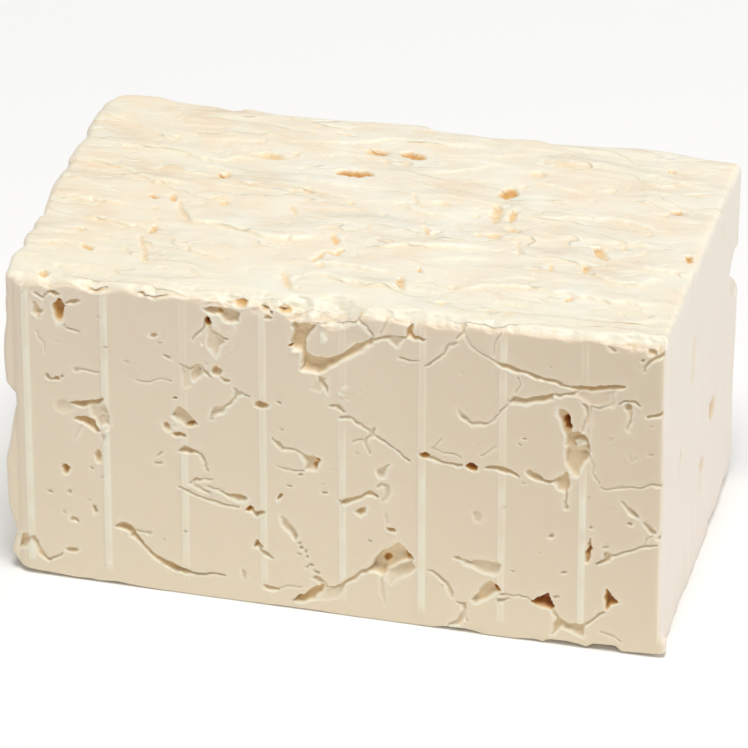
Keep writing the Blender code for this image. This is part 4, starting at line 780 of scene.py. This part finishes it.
# Lips: rise, how far back the layer slopes away, then places (x, y), each with its own share of
# the rise where it isn't 1.
TOP_LIPS = [
    (0.5, 9, [(-76, 34.5), (-72.5, 32), (-68, 30.6, 0.5), (-60, 26.7), (-55.5, 24), (-51, 21.6)]),
    (0.45, 8, [(-74, 20.8), (-65, 19), (-60, 19.8), (-55, 20.2), (-50, 19), (-47, 17.5), (-44, 17),
        (-41, 17.2), (-38.5, 19), (-33, 19.2)]),
    (0.55, 9, [(-77, 11.8), (-70, 11), (-65, 10), (-61, 8.8), (-57, 6.5), (-54, 4.6), (-50, 5.2),
        (-46, 5.6)]),
    (0.5, 8, [(-76, -4.6), (-70, -5.6), (-65, -5.8), (-60, -6.3), (-56.5, -6.6)]),
    (0.5, 7, [(-68.5, -13), (-63, -14), (-58, -14), (-52.5, -15.4), (-50, -17)]),
    (0.6, 9, [(-45, -4), (-43.4, -7.6), (-40.5, -10.8), (-35, -10.8), (-30, -11.6), (-24, -13.6),
        (-20, -14), (-15, -13), (-9.6, -11.6)]),
    (0.4, 6, [(-77, -20.6), (-70, -21.6), (-64, -20.8)]),
    (0.35, 6, [(-74, -26.6), (-70, -25.6), (-65, -25), (-61.6, -26), (-58, -28.8)]),
    (0.4, 6, [(-56, -23.6), (-52, -25.4), (-50, -27.2), (-47, -28.2)]),
    (0.5, 7, [(-45, -18.4), (-43, -19.2), (-41, -22), (-35, -24.2), (-29, -25.2)]),
    (0.35, 6, [(-40, -29), (-35, -30.6), (-32, -33.4), (-27, -34.4)]),
    (0.3, 7, [(-72, -34), (-66, -35.2), (-60, -34.6), (-53, -35.8)]),
    (0.4, 8, [(-27, 29.8), (-20, 30.3), (-14, 31.2), (-10, 32.8), (-6, 34.6), (2, 35), (10, 35.2),
        (17, 35.8)]),
    (0.35, 5, [(-1, 37.6), (5, 38), (10, 38.5), (15, 38.2)]),
    (0.35, 6, [(4, 20.6), (8, 21.8), (12, 23), (16, 25.2), (20, 29.4)]),
    (0.3, 5, [(5, 28), (8, 26), (11, 24.9)]),
    (0.3, 8, [(-22, 13.4), (-14, 11.4), (-6, 12.2), (4, 11.6)]),
    (0.45, 8, [(-2, 6.4), (2, 7), (5, 6), (7, 4.2), (10, 3.5), (15, 3.2), (21, 2)]),
    (0.5, 7, [(1, -13.8), (5, -13), (9, -11.6), (13, -11), (17, -10.5), (22, -9.5), (28, -9)]),
    (0.4, 4, [(15, -17), (20, -15.6), (25, -14.9), (29, -13.8)]),
    (0.5, 7, [(-12, -22.6), (-5, -23.4), (0, -23.5), (5, -23.9), (11.5, -24.1)]),
    (0.5, 6, [(-11, -28.8), (-7, -27.9), (-4, -28.5), (-1, -29.5), (5, -30), (12, -29.9), (17, -31.2)]),
    (0.3, 6, [(-8, -37.4), (-2, -36.2), (6, -36.6), (12, -37.4)]),
    (0.3, 6, [(28, 39.6), (38, 39.2), (48, 38.4), (58, 39)]),
    (0.35, 6, [(29, 33.9), (36, 33), (44, 33.2), (51, 31.2)]),
    (0.4, 5, [(53, 32.6), (56, 30.6), (62, 29.2), (71, 27.4)]),
    (0.45, 3.4, [(54, 28.8), (56, 27.2), (59, 26.3), (62, 27.2), (63, 28.4)]),
    (0.35, 6, [(29, 22.8), (35, 21.6), (40, 20), (45, 19.2)]),
    (0.45, 5, [(53.5, 20.2), (57, 18.8), (60, 16.8)]),
    (0.35, 6, [(29, 15.2), (35, 16), (38, 15), (43, 14.4)]),
    (0.45, 7, [(33, 6.2), (38, 7), (45, 8.5), (51, 9.1), (56, 9), (60, 7.4), (62.5, 5)]),
    (0.3, 6, [(34, -0.4), (45, -0.6), (60, -1), (71, -1.2)]),
    (0.45, 6, [(35, -11.8), (45, -11), (52, -11.2)]),
    (0.5, 6, [(60, -9.6), (63, -11), (70, -11), (76, -13)]),
    (0.5, 7, [(51, -13.4), (54, -16.4), (57, -18), (61, -19), (64, -18), (66, -16.4), (70, -14.8)]),
    (0.4, 5, [(25, -25.4), (30, -24), (35, -22), (38, -21), (42, -20.4)]),
    (0.55, 7, [(24, -29), (30, -26.2), (36, -25), (42, -24.2), (46, -25), (52, -25.8), (60, -27),
        (66, -27), (73, -25.2)]),
    (0.35, 6, [(27, -31.2), (33, -32.1), (38, -31.6), (43, -30.4)]),
    (0.35, 6, [(52, -33.2), (58, -35), (63, -35.1), (67, -34.6), (71, -33), (76, -32.4)]),
]
SMALL_LIPS = 150
TOP_TEARS = 70
TOP_NICKS = 110

# Cracks, crumbly stretches and pits are written as for the front, with places (x, y).
TOP_CRACKS = [
    (0.6, 0.6, 0.1, 0.3, 0.3, [(-46.2, -2.4), (-44.4, -6.2), (-41.8, -10.2)]),
    (0.6, 0.6, 0.1, 0.3, 0.3, [(-50, -19.6), (-47.8, -25.4), (-46.4, -29.4)]),
    (0.7, 0.9, 0.3, 0.3, 0.3, [(-4, -16.2), (-5.2, -18, 1.4), (-7.6, -18.2), (-9.3, -22.4, 1.2)]),
    (0.5, 0.6, 0.1, 0.3, 0.3, [(5.4, 11), (7.2, 7.4, 1.2), (9, 6)]),
    (0.6, 0.8, 0.2, 0.3, 0.3, [(11.4, -2.6), (12.6, -4.9, 1.3), (15, -4.2, 0.8)]),
    (0.5, 0.6, 0.2, 0.3, 0.3, [(-20.4, 0.6), (-18.6, -3)]),
    (0.6, 0.9, 0.3, 0.3, 0.3, [(-18.4, 36, 0.6), (-16.6, 35.2, 1.4), (-14.8, 34.8, 0.8)]),
    (0.8, 1, 0.3, 0.3, 0.3, [(-62, -25.6, 0.7), (-60.2, -26.8)]),
    (0.6, 0.6, 0, 0.3, 0.3, [(33.2, -5.2), (34.6, -10.2)]),
    (0.9, 1, 0.3, 0.3, 0.3, [(50.2, -27), (49.8, -28)]),
]
TOP_CRUMBLE = [
    (-46.5, -25, 5, 7, 0.35), (-42, -2.6, 7, 2.2, 0.35), (-35.5, 1, 3.4, 4.4, 0.35),
    (-54, 25.5, 5, 4, 0.25), (-43, 21.5, 3.4, 6, 0.3), (-34, 23, 8, 3, 0.25), (-34, -33, 7, 4, 0.3),
    (-16, 36, 6, 3, 0.25), (-19, -17, 6, 5, 0.3), (-3, -17, 7, 4, 0.3), (-13, -30, 5, 6, 0.3),
    (8, 7, 7, 5, 0.25), (12, -6, 4, 6, 0.25), (22, -28, 7, 5, 0.3), (26, 8, 6, 10, 0.3),
    (31, 26, 4, 4, 0.25), (48, 22.5, 6, 3, 0.3), (56, -3, 6, 4, 0.3), (53, -15.5, 4, 3.5, 0.3),
    (61, 34, 5, 4, 0.25), (36, 31, 7, 3, 0.25), (-60, -38, 12, 4, 0.3), (-20, -40, 20, 4, 0.4),
    (42, -32, 6, 4, 0.25),
]
TOP_PITS = [
    (-52.6, -1.3, 2.8, 1.1, -8, 1.6, 0.38), (-48, -1.2, 1.5, 3.2, 15, 1.2, 0.23),
    (-36.2, -0.8, 2.4, 2, 0, 0.9, 0.11), (-39.2, 11.3, 2.7, 2.7, 0, 1.3, 0.27),
    (-31.4, 21.9, 7.4, 2.2, 0, 0.9, 0.19), (-25.8, 23.8, 0.9, 1.4, 0, 1.4, 0.27),
    (-54.5, 25.5, 1, 1.4, 0, 0.6, 0.08), (-48.4, -15.8, 0.9, 3.8, 4, 1.6, 0.27),
    (-64.2, -19, 1.8, 0.9, 30, 0.8, 0.11), (-67.2, -38.8, 2.6, 2.2, -30, 1.1, 0.19),
    (-7.6, 28.6, 5.6, 2.6, 0, 1.3, 0.23), (0.8, 28.9, 6.6, 2.3, -8, 1.6, 0.34),
    (-10.5, 17.9, 8, 2.8, 8, 2.2, 0.38), (-21.8, 7.4, 2.6, 1.6, 20, 0.9, 0.15),
    (-18.4, 8.4, 3, 2.4, 0, 0.6, 0.11), (-7.8, 4.4, 1.4, 1.3, 0, 0.8, 0.15),
    (-7.2, -11.6, 1.4, 5, 22, 1.2, 0.19), (-7, -24.3, 2.2, 1.5, -10, 0.9, 0.15),
    (-13.2, -31.2, 1.8, 8.6, 28, 0.8, 0.11), (12.4, 8.5, 4.4, 1.8, 0, 0.6, 0.11),
    (26.4, 16.4, 3.4, 4.6, -20, 2, 0.3), (26.3, 14.6, 1, 2, -10, 2.9, 0.6),
    (25.6, 7, 2.4, 8, 8, 0.9, 0.15), (29.6, 6.8, 1.8, 5.4, 0, 1.2, 0.19), (24, -3.8, 2, 1.2, 0, 0.9, 0.15),
    (27.4, -3, 3.2, 2.4, 0, 0.9, 0.15), (30.8, 0.3, 3.4, 1.1, -8, 1.2, 0.23),
    (15, -21.2, 0.8, 2.4, 12, 1.6, 0.38), (12, -28, 1.8, 5, 25, 1, 0.15),
    (23, -34.4, 2.6, 1.2, 0, 1.2, 0.23), (60.6, 34.4, 1.5, 1.5, 30, 1.2, 0.23),
    (30.8, 26.6, 3.2, 2.8, 0, 0.7, 0.11), (65.5, 15.3, 2.8, 1.5, 0, 1.8, 0.38),
    (62.8, 13.8, 1.6, 1.1, 0, 1.2, 0.23), (72.1, -4.2, 1.4, 3.2, 8, 1.3, 0.38),
    (52.2, -5.8, 2.4, 6.6, 38, 1.1, 0.19), (54, -8.2, 1.4, 1, 0, 1.6, 0.27),
    (57, -2.2, 1.4, 1.8, 0, 0.9, 0.15), (43, -14.8, 1.1, 3.6, 10, 1, 0.19),
    (50.4, -13.2, 1.4, 4.6, 12, 0.9, 0.15), (21.4, 4.6, 1.2, 1.8, 0, 0.7, 0.11),
    (28.8, 20.2, 2, 1.2, 20, 0.8, 0.15), (24.2, -27.2, 2, 1.6, 0, 0.7, 0.11),
    (48.8, 22, 2.6, 1, 30, 0.5, 0.04), (61.4, 4.4, 0.9, 1.6, 0, 0.6, 0.08),
]

top = Relief(x, y, 51, raised=0.0, shade_weight=1.6)
each(top.lip, TOP_LIPS)
# Between them are finer ones, which run the same way.
chance = np.random.default_rng(41)
for _ in range(SMALL_LIPS):
    spread = chance.uniform(5.0, 13.0)
    middle_x, middle_y = chance.uniform(-LENGTH / 2, LENGTH / 2), chance.uniform(-DEPTH / 2, DEPTH / 2)
    slope, bow = chance.normal(-0.06, 0.12), chance.normal(0.0, 1.2)
    small = [
        (middle_x + part * spread, middle_y + slope * part * spread + bow * part * part)
        for part in (-1, -0.3, 0.4, 1)
    ]
    top.lip(chance.uniform(0.08, 0.26), chance.uniform(2.0, 5.0), small)
each(top.crumble, TOP_CRUMBLE)
each(top.crack, TOP_CRACKS)
# Short tears run across the layers, and there are nicks.
for _ in range(TOP_TEARS):
    tear_x, tear_y = chance.uniform(-72, 73), chance.uniform(-39, 39)
    run, drop = chance.normal(0.0, 1.2), chance.uniform(0.8, 2.6)
    bend = chance.normal(0.0, 0.6)
    middle = (tear_x + run / 2 + bend, tear_y - drop / 2)
    tear = [(tear_x, tear_y), middle, (tear_x + run, tear_y - drop, 0.4)]
    top.crack(0.3, chance.uniform(0.2, 0.45), 0.1, 0.2, 0.3, tear)
for _ in range(TOP_NICKS):
    nick_x, nick_y = chance.uniform(-73, 74), chance.uniform(-40, 40)
    wide, tall = chance.uniform(0.5, 1.8), chance.uniform(0.4, 1.0)
    top.pit(nick_x, nick_y, wide, tall, chance.normal(0, 25), chance.uniform(0.15, 0.4), 0.1)
each(top.pit, TOP_PITS)
top_swell = 0.18 * curdle(x, y, 19.0, 53) + 0.07 * curdle(x * 0.5, y, 4.0, 54)
top_swell += 0.025 * curdle(x * 0.3, y, 1.2, 55)
z = z + on_top * (top.rise - 0.3 + top_swell - top.depth - top.level)
top.stain += 0.03 * (1.0 - smooth(-60, -5, x))

# The ends and the back.
# The right end is a wire cut: flat, with fine marks drawn down it by the wire. Curd met the wire
# here and there at a gap, which it drew out into a tall pit. The rest is gently lumpy curd.

# Pits: as for the front, with places (y, z).
RIGHT_PITS = [
    (-9.4, 57.4, 3.4, 11.6, -6, 1.3, 0.08), (-9.2, 61.6, 1.8, 2.6, 0, 1.2, 0.2),
    (15, 31.6, 6, 5, -10, 1.3, 0.3), (4.2, 22.6, 3.8, 3.4, -8, 1, 0.15),
    (-22.2, 38.4, 2.2, 7, -6, 0.8, 0.08), (22, 73, 1.4, 4.2, -6, 0.7, 0.1),
    (3, 17.6, 2.2, 4.6, -6, 0.6, 0.05), (28, 66, 1.2, 3, -6, 0.5, 0.05), (-30, 20, 1.2, 3.4, 0, 0.4, 0.03),
]
# Chips out of the edges: middle (x, y, z), and half sizes.
CHIPS = [
    ((76, 41, 57.6), (8, 10, 3.6)), ((76, 39, 53), (7, 6.5, 4)), ((76.5, 32, -1), (8, 15, 3.6)),
    ((77, 44, -1), (8, 10, 6.6)), ((77, 18, -1.2), (6, 6, 2.6)),
]
# How far the block is moved, so that it stands on the origin as its solid does.
STAND = np.array([0.7126, -0.9052, FOOT])

right = Relief(y, z, 61, raised=0.0, shade_weight=0.5)
each(right.pit, RIGHT_PITS)
wire = 0.09 * curdle(y + 0.05 * z, z * 0.04, 1.5, 63) + 0.14 * curdle(y + 0.04 * z, z * 0.08, 3.6, 66)
wire += 0.14 * curdle(y, z * 0.15, 8.0, 64) + 0.2 * curdle(y, z, 21.0, 65)
x = x - on_right * (right.depth + wire)
# A nub of curd is left at the foot of the corner.
x += on_right * 1.2 * smooth(-37, -40, y) * smooth(5, 2, z)
left_lumps = 0.4 * curdle(y, z, 11.0, 71) + 0.2 * curdle(y, z, 4.5, 72) + 0.08 * curdle(y, z, 1.8, 79)
x = x + on_left * left_lumps * lift
back_lumps = 0.35 * curdle(x, z, 13.0, 73) + 0.2 * curdle(x, z, 5.0, 74) + 0.08 * curdle(x, z, 1.8, 75)
y = y - on_back * back_lumps * lift

spots = np.column_stack((x, y, z))
for middle, size in CHIPS:
    away = np.linalg.norm((spots - middle) / size, axis=1)
    ragged = 1.0 + 0.18 * curdle(spots[:, 1], spots[:, 2], 2.2, 76)
    push = np.clip(ragged - away, 0.0, 1.0)
    inward = np.column_stack((-np.sign(x) * size[0], -np.sign(y) * size[1] * 0.6, np.zeros(len(x))))
    spots += inward * push[:, None] * 0.5
spots += STAND
block.data.vertices.foreach_set("co", (spots * MM).ravel())

# The mesh carries what the material needs. The first attribute holds how much stain and painted shade a spot
# has, how much painted highlight or pale rib, how far it is moulded skin and how clear its rib is. "faces"
# holds the top, the right end and the sides that the photograph doesn't show.
stain = on_front * front.stain + on_top * top.stain + on_right * right.stain
# Painted highlights along broken edges, on the crests of the top's layers and on the crumbled rim. The top
# is also paler towards its front, and the first two ribs are paler in their own colour.
pale_ribs_and_highlights = on_front * np.maximum(front.painted_highlight, 0.45 * rib * (rib_number < 2))
pale_ribs_and_highlights += on_top * np.maximum(0.7 * top.painted_highlight, 0.5 * smooth(10, 38, -y))
pale_ribs_and_highlights += 0.15 * rim
moulded = np.maximum(on_front, np.clip(1.0 - on_top - on_right, 0.0, 1.0))
unseen = np.clip(1.0 - on_top - on_right - on_front, 0.0, 1.0)
for name, channels in (
    ("marks_and_painted_light", (np.clip(stain, 0, 1), np.clip(pale_ribs_and_highlights, 0, 1), moulded, np.clip(on_front * rib_clear, 0, 1))),
    ("faces", (on_top, on_right, unseen, np.ones(len(x)))),
):
    attribute = block.data.color_attributes.new(name, "FLOAT_COLOR", "POINT")
    attribute.data.foreach_set("color", np.column_stack(channels).ravel())

bpy.ops.object.select_all(action="DESELECT")
block.select_set(True)
bpy.context.view_layer.objects.active = block
thin = block.modifiers.new("thin", "DECIMATE")
triangles = sum(len(face.vertices) - 2 for face in block.data.polygons)
thin.ratio = min(1.0, BLOCK_TRIANGLES / triangles)
bpy.ops.object.modifier_apply(modifier=thin.name)
bpy.ops.object.shade_smooth()


def linear(colour):
    """A colour written as sRGB hex, as linear light."""
    parts = [int(colour[place : place + 2], 16) / 255 for place in (1, 3, 5)]
    return [part / 12.92 if part <= 0.04045 else ((part + 0.055) / 1.055) ** 2.4 for part in parts] + [1.0]


def add(tree, kind, settings, links):
    """Adds a node, with its settings, and links its inputs from the outputs given."""
    node = tree.nodes.new(kind)
    for name, value in settings.items():
        if name in node.inputs and not hasattr(type(node), name):
            node.inputs[name].default_value = value
        else:
            setattr(node, name, value)
    for name, output in links.items():
        tree.links.new(output, node.inputs[name])
    return node


# Feta is white curd with butterfat, so light goes a few millimetres into it and comes out warmer. The cut
# surface is moist and satin. The hollows are painted ochre to brown, as warm shade. The moulded skin is a
# little darker than the cut curd, partly its own colour and partly painted shade on the front. The pale
# highlight colour is painted along edges, lips and crests.
CURD = "#FFF3E3"
CURD_WARM = "#FBE6CE"
SKIN_LOW = "#F2E5CE"
SKIN_HIGH = "#EEDFCA"
SKIN_SHADED = "#E6D7C0"
WIRE_CUT_LOW = "#F1E7DA"
WIRE_CUT_HIGH = "#F9EEDF"
HIGHLIGHT_COLOUR = "#FFF4E2"
WARM_SHADE_THIN = "#ECD59A"
WARM_SHADE = "#E1B673"
WARM_SHADE_DEEP = "#B0703A"

curd = bpy.data.materials.new("moist_feta_curd")
curd.use_nodes = True
tree = curd.node_tree
shader = tree.nodes["Principled BSDF"]
place = add(tree, "ShaderNodeTexCoord", {}, {}).outputs["Object"]
axes = add(tree, "ShaderNodeSeparateXYZ", {}, {"Vector": place}).outputs
marks_and_painted_light = add(tree, "ShaderNodeVertexColor", {"layer_name": "marks_and_painted_light"}, {}).outputs
parts = add(tree, "ShaderNodeSeparateColor", {}, {"Color": marks_and_painted_light["Color"]}).outputs
how_stained, rib_and_highlight_share, how_moulded, rib_left = parts["Red"], parts["Green"], parts["Blue"], marks_and_painted_light["Alpha"]
faces = add(tree, "ShaderNodeVertexColor", {"layer_name": "faces"}, {}).outputs["Color"]
parts = add(tree, "ShaderNodeSeparateColor", {}, {"Color": faces}).outputs
on_topside, on_cut, on_unseen = parts["Red"], parts["Green"], parts["Blue"]


def maths(kind, first, *others):
    """A math node of this kind, on an output and on more outputs or numbers."""
    node = add(tree, "ShaderNodeMath", {"operation": kind}, {})
    tree.links.new(first, node.inputs[0])
    for slot, other in enumerate(others, 1):
        if isinstance(other, (int, float)):
            node.inputs[slot].default_value = other
        else:
            tree.links.new(other, node.inputs[slot])
    return node.outputs[0]


def ramp(value, low, high):
    """Goes from 0 to 1 as the value goes from low to high."""
    settings = {"From Min": low, "From Max": high}
    return add(tree, "ShaderNodeMapRange", settings, {"Value": value}).outputs["Result"]


def stretched(scale):
    """Places that are stretched this much along each axis."""
    return add(tree, "ShaderNodeMapping", {"Scale": scale}, {"Vector": place}).outputs["Vector"]


def noise(where, scale, detail, roughness=0.5):
    """Soft noise at these places, with this many lumps to a metre."""
    settings = {"Scale": scale, "Detail": detail, "Roughness": roughness}
    return add(tree, "ShaderNodeTexNoise", settings, {"Vector": where}).outputs["Fac"]


def mixed(share, first, second):
    """The colour this share of the way from the first to the second: each is an output or hex."""
    node = add(tree, "ShaderNodeMix", {"data_type": "RGBA"}, {})
    tree.links.new(share, node.inputs[0])
    # On a mix node the colours are inputs 6 and 7 and output 2.
    for slot, colour in ((6, first), (7, second)):
        if isinstance(colour, str):
            node.inputs[slot].default_value = linear(colour)
        else:
            tree.links.new(colour, node.inputs[slot])
    return node.outputs[2]


def bumped(height, strength, distance, *under):
    """A surface raised by this height times a distance in millimetres, over what lies under it."""
    node = add(tree, "ShaderNodeBump", {"Strength": strength, "Distance": distance * MM}, {"Height": height})
    for normal in under:
        tree.links.new(normal, node.inputs["Normal"])
    return node.outputs["Normal"]


# Each rib is a faint pale band with a painted highlight line down each side, where its thin edges catch the
# light: how pale the band is, and how far each line lies from the rib's middle.
RIB_BAND = 0.95
RIB_LINE = 0.62
from_rib = maths("SUBTRACT", axes["X"], (RIB_FIRST + STAND[0]) * MM)
from_rib = maths("PINGPONG", from_rib, RIB_PITCH * MM / 2)
off_line = maths("ABSOLUTE", maths("SUBTRACT", from_rib, RIB_LINE * MM))
rib_edge_highlight = ramp(off_line, 0.36 * MM, 0.10 * MM)
band = ramp(from_rib, 0.75 * MM, 0.5 * MM)
band = maths("MULTIPLY", maths("MULTIPLY", band, RIB_BAND), rib_left)
rib_pale = maths("MAXIMUM", rib_edge_highlight, band)
rib_and_highlight_paleness = maths("MAXIMUM", rib_and_highlight_share, maths("MULTIPLY", rib_pale, rib_left))

# Fine flakes on the top: the layers' edges, which run along the block. Across it, each rises to a lip with a
# painted highlight, drops, and has a foot in painted yellow shade. They lie this far apart, wander and rise
# this much.
FLAKE = 4.6
FLAKE_WANDER = 4.6
FLAKE_RISE = 0.4
drawn = stretched((0.42, 1.0, 0.0))
flakes = maths("MULTIPLY", noise(drawn, 95.0, 2.6), FLAKE_WANDER)
flake = maths("FRACT", maths("ADD", flakes, maths("MULTIPLY", axes["Y"], -1000.0 / FLAKE)))
torn = maths("MULTIPLY", ramp(noise(drawn, 70.0, 2.0), 0.40, 0.56), on_topside)
rising = ramp(flake, 0.70, 0.90)
falling = ramp(flake, 1.0, 0.93)
flake_lip_highlight = maths("MULTIPLY", maths("MULTIPLY", rising, falling), torn)
flake_foot_shade = maths("MULTIPLY", ramp(flake, 0.16, 0.0), torn)
flake_height = maths("MULTIPLY", maths("MINIMUM", flake, falling), torn)
rib_and_highlight_paleness = maths("MAXIMUM", rib_and_highlight_paleness, maths("MULTIPLY", flake_lip_highlight, 0.7))
stain_and_shade_amount = maths("ADD", how_stained, maths("MULTIPLY", flake_foot_shade, 0.10))

# The cut end is darker low down, and the moulded skin is painted darker high up, as shade.
up_face = ramp(axes["Z"], 8.0 * MM, 78.0 * MM)
mottle = ramp(noise(place, 90.0, 3.0), 0.3, 0.7)
cut = mixed(on_cut, mixed(mottle, CURD, CURD_WARM), mixed(up_face, WIRE_CUT_LOW, WIRE_CUT_HIGH))
# The moulded skin is painted duller towards the upper right, as shade.
shaded_upper_right = maths("MULTIPLY", ramp(axes["X"], 0.0, 75.0 * MM), ramp(axes["Z"], -10.0 * MM, 70.0 * MM))
skin = mixed(shaded_upper_right, mixed(up_face, SKIN_LOW, SKIN_HIGH), SKIN_SHADED)
# The painted highlight is mixed in first, then the painted warm shade of the hollows, ochre to brown.
colour_before_shade = mixed(rib_and_highlight_paleness, mixed(how_moulded, cut, skin), HIGHLIGHT_COLOUR)
warm_shade_ramp = add(tree, "ShaderNodeValToRGB", {}, {"Fac": stain_and_shade_amount})
warm_shade_ramp.color_ramp.elements[0].color = linear(WARM_SHADE_THIN)
warm_shade_ramp.color_ramp.elements[1].color = linear(WARM_SHADE_DEEP)
warm_shade_ramp.color_ramp.elements.new(0.4).color = linear(WARM_SHADE)
tree.links.new(mixed(ramp(stain_and_shade_amount, 0.0, 0.35), colour_before_shade, warm_shade_ramp.outputs["Color"]), shader.inputs["Base Color"])

# The grain of the curd is about a millimetre, and lies under a film of whey. The flakes lie on it.
grain = bumped(noise(place, 900.0, 4.0, 0.6), 0.25, 0.2)
layers = bumped(flake_height, 1.0, FLAKE_RISE, grain)
# The wire drew fine upright lines down the right end. The left end and the back are coarser, as
# curd is where nothing smoothed it.
scored = maths("MULTIPLY", noise(stretched((0.0, 1.0, 0.03)), 800.0, 2.0), on_cut)
coarse = maths("MULTIPLY", noise(place, 170.0, 5.0, 0.6), maths("MULTIPLY_ADD", on_unseen, 2.1, 0.4))
marks = bumped(maths("ADD", scored, coarse), 1.0, 0.3, layers)
tree.links.new(marks, shader.inputs["Normal"])
shader.inputs["Roughness"].default_value = 0.42
shader.inputs["IOR"].default_value = 1.45
shader.inputs["Subsurface Weight"].default_value = 0.8
shader.inputs["Subsurface Radius"].default_value = (1.0, 0.92, 0.82)
shader.inputs["Subsurface Scale"].default_value = 0.0005
block.data.materials.clear()
block.data.materials.append(curd)
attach(block, "root")
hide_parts("feta_block")

# The studio.
# A plain sheet of pale paper. One large soft lamp hangs above and before the block, and a weaker
# one stands on its right, level with the cut end.

bpy.ops.object.select_all(action="DESELECT")
bpy.ops.mesh.primitive_plane_add(size=6.0, location=(0, 0, 0))
floor = bpy.context.object
floor.name = "floor"
paper = bpy.data.materials.new("white_paper")
paper.use_nodes = True
paper_shader = paper.node_tree.nodes["Principled BSDF"]
paper_shader.inputs["Base Color"].default_value = linear("#FAFAF9")
paper_shader.inputs["Roughness"].default_value = 0.9
floor.data.materials.append(paper)

world = bpy.data.worlds.new("studio")
bpy.context.scene.world = world
world.use_nodes = True
world.node_tree.nodes["Background"].inputs["Color"].default_value = linear("#FFFFFF")
world.node_tree.nodes["Background"].inputs["Strength"].default_value = 0.26


def lamp(name, place, aim, size, power, colour="#FFFFFF"):
    """A round soft lamp: its place, size in metres and power in watts."""
    bpy.ops.object.light_add(type="AREA", location=place)
    light = bpy.context.object
    light.name = name
    light.data.shape = "DISK"
    light.data.size = size
    light.data.energy = power
    light.data.color = linear(colour)[:3]
    light.rotation_euler = (Vector(aim) - Vector(place)).to_track_quat("-Z", "Y").to_euler()


lamp("key", (0.30, -0.70, 2.95), (0, 0, 0.05), 1.6, 73.0)
lamp("side", (2.70, 0.30, 1.10), (0, 0, 0.04), 1.2, 15.0, "#FFF6F2")

# The photograph's camera: far off with a long lens, so the block's edges hardly draw together.
AZIMUTH = 14.34
ELEVATION = 30.09
DISTANCE = 1.3743
AIM = Vector((-0.43, -0.91, 39.14)) * MM
SENSOR = 36.0
FOCAL_PIXELS = 6000.0
PHOTO_PIXELS = 748.0
turn = math.radians(AZIMUTH)
rise = math.radians(ELEVATION)
away = Vector((math.sin(turn) * math.cos(rise), -math.cos(turn) * math.cos(rise), math.sin(rise)))
bpy.ops.object.camera_add(location=AIM + away * DISTANCE)
camera = bpy.context.object
camera.rotation_euler = (-away).to_track_quat("-Z", "Y").to_euler()
camera.data.sensor_width = SENSOR
camera.data.lens = SENSOR * FOCAL_PIXELS / PHOTO_PIXELS
bpy.context.scene.camera = camera
bpy.context.scene.view_settings.view_transform = "Standard"
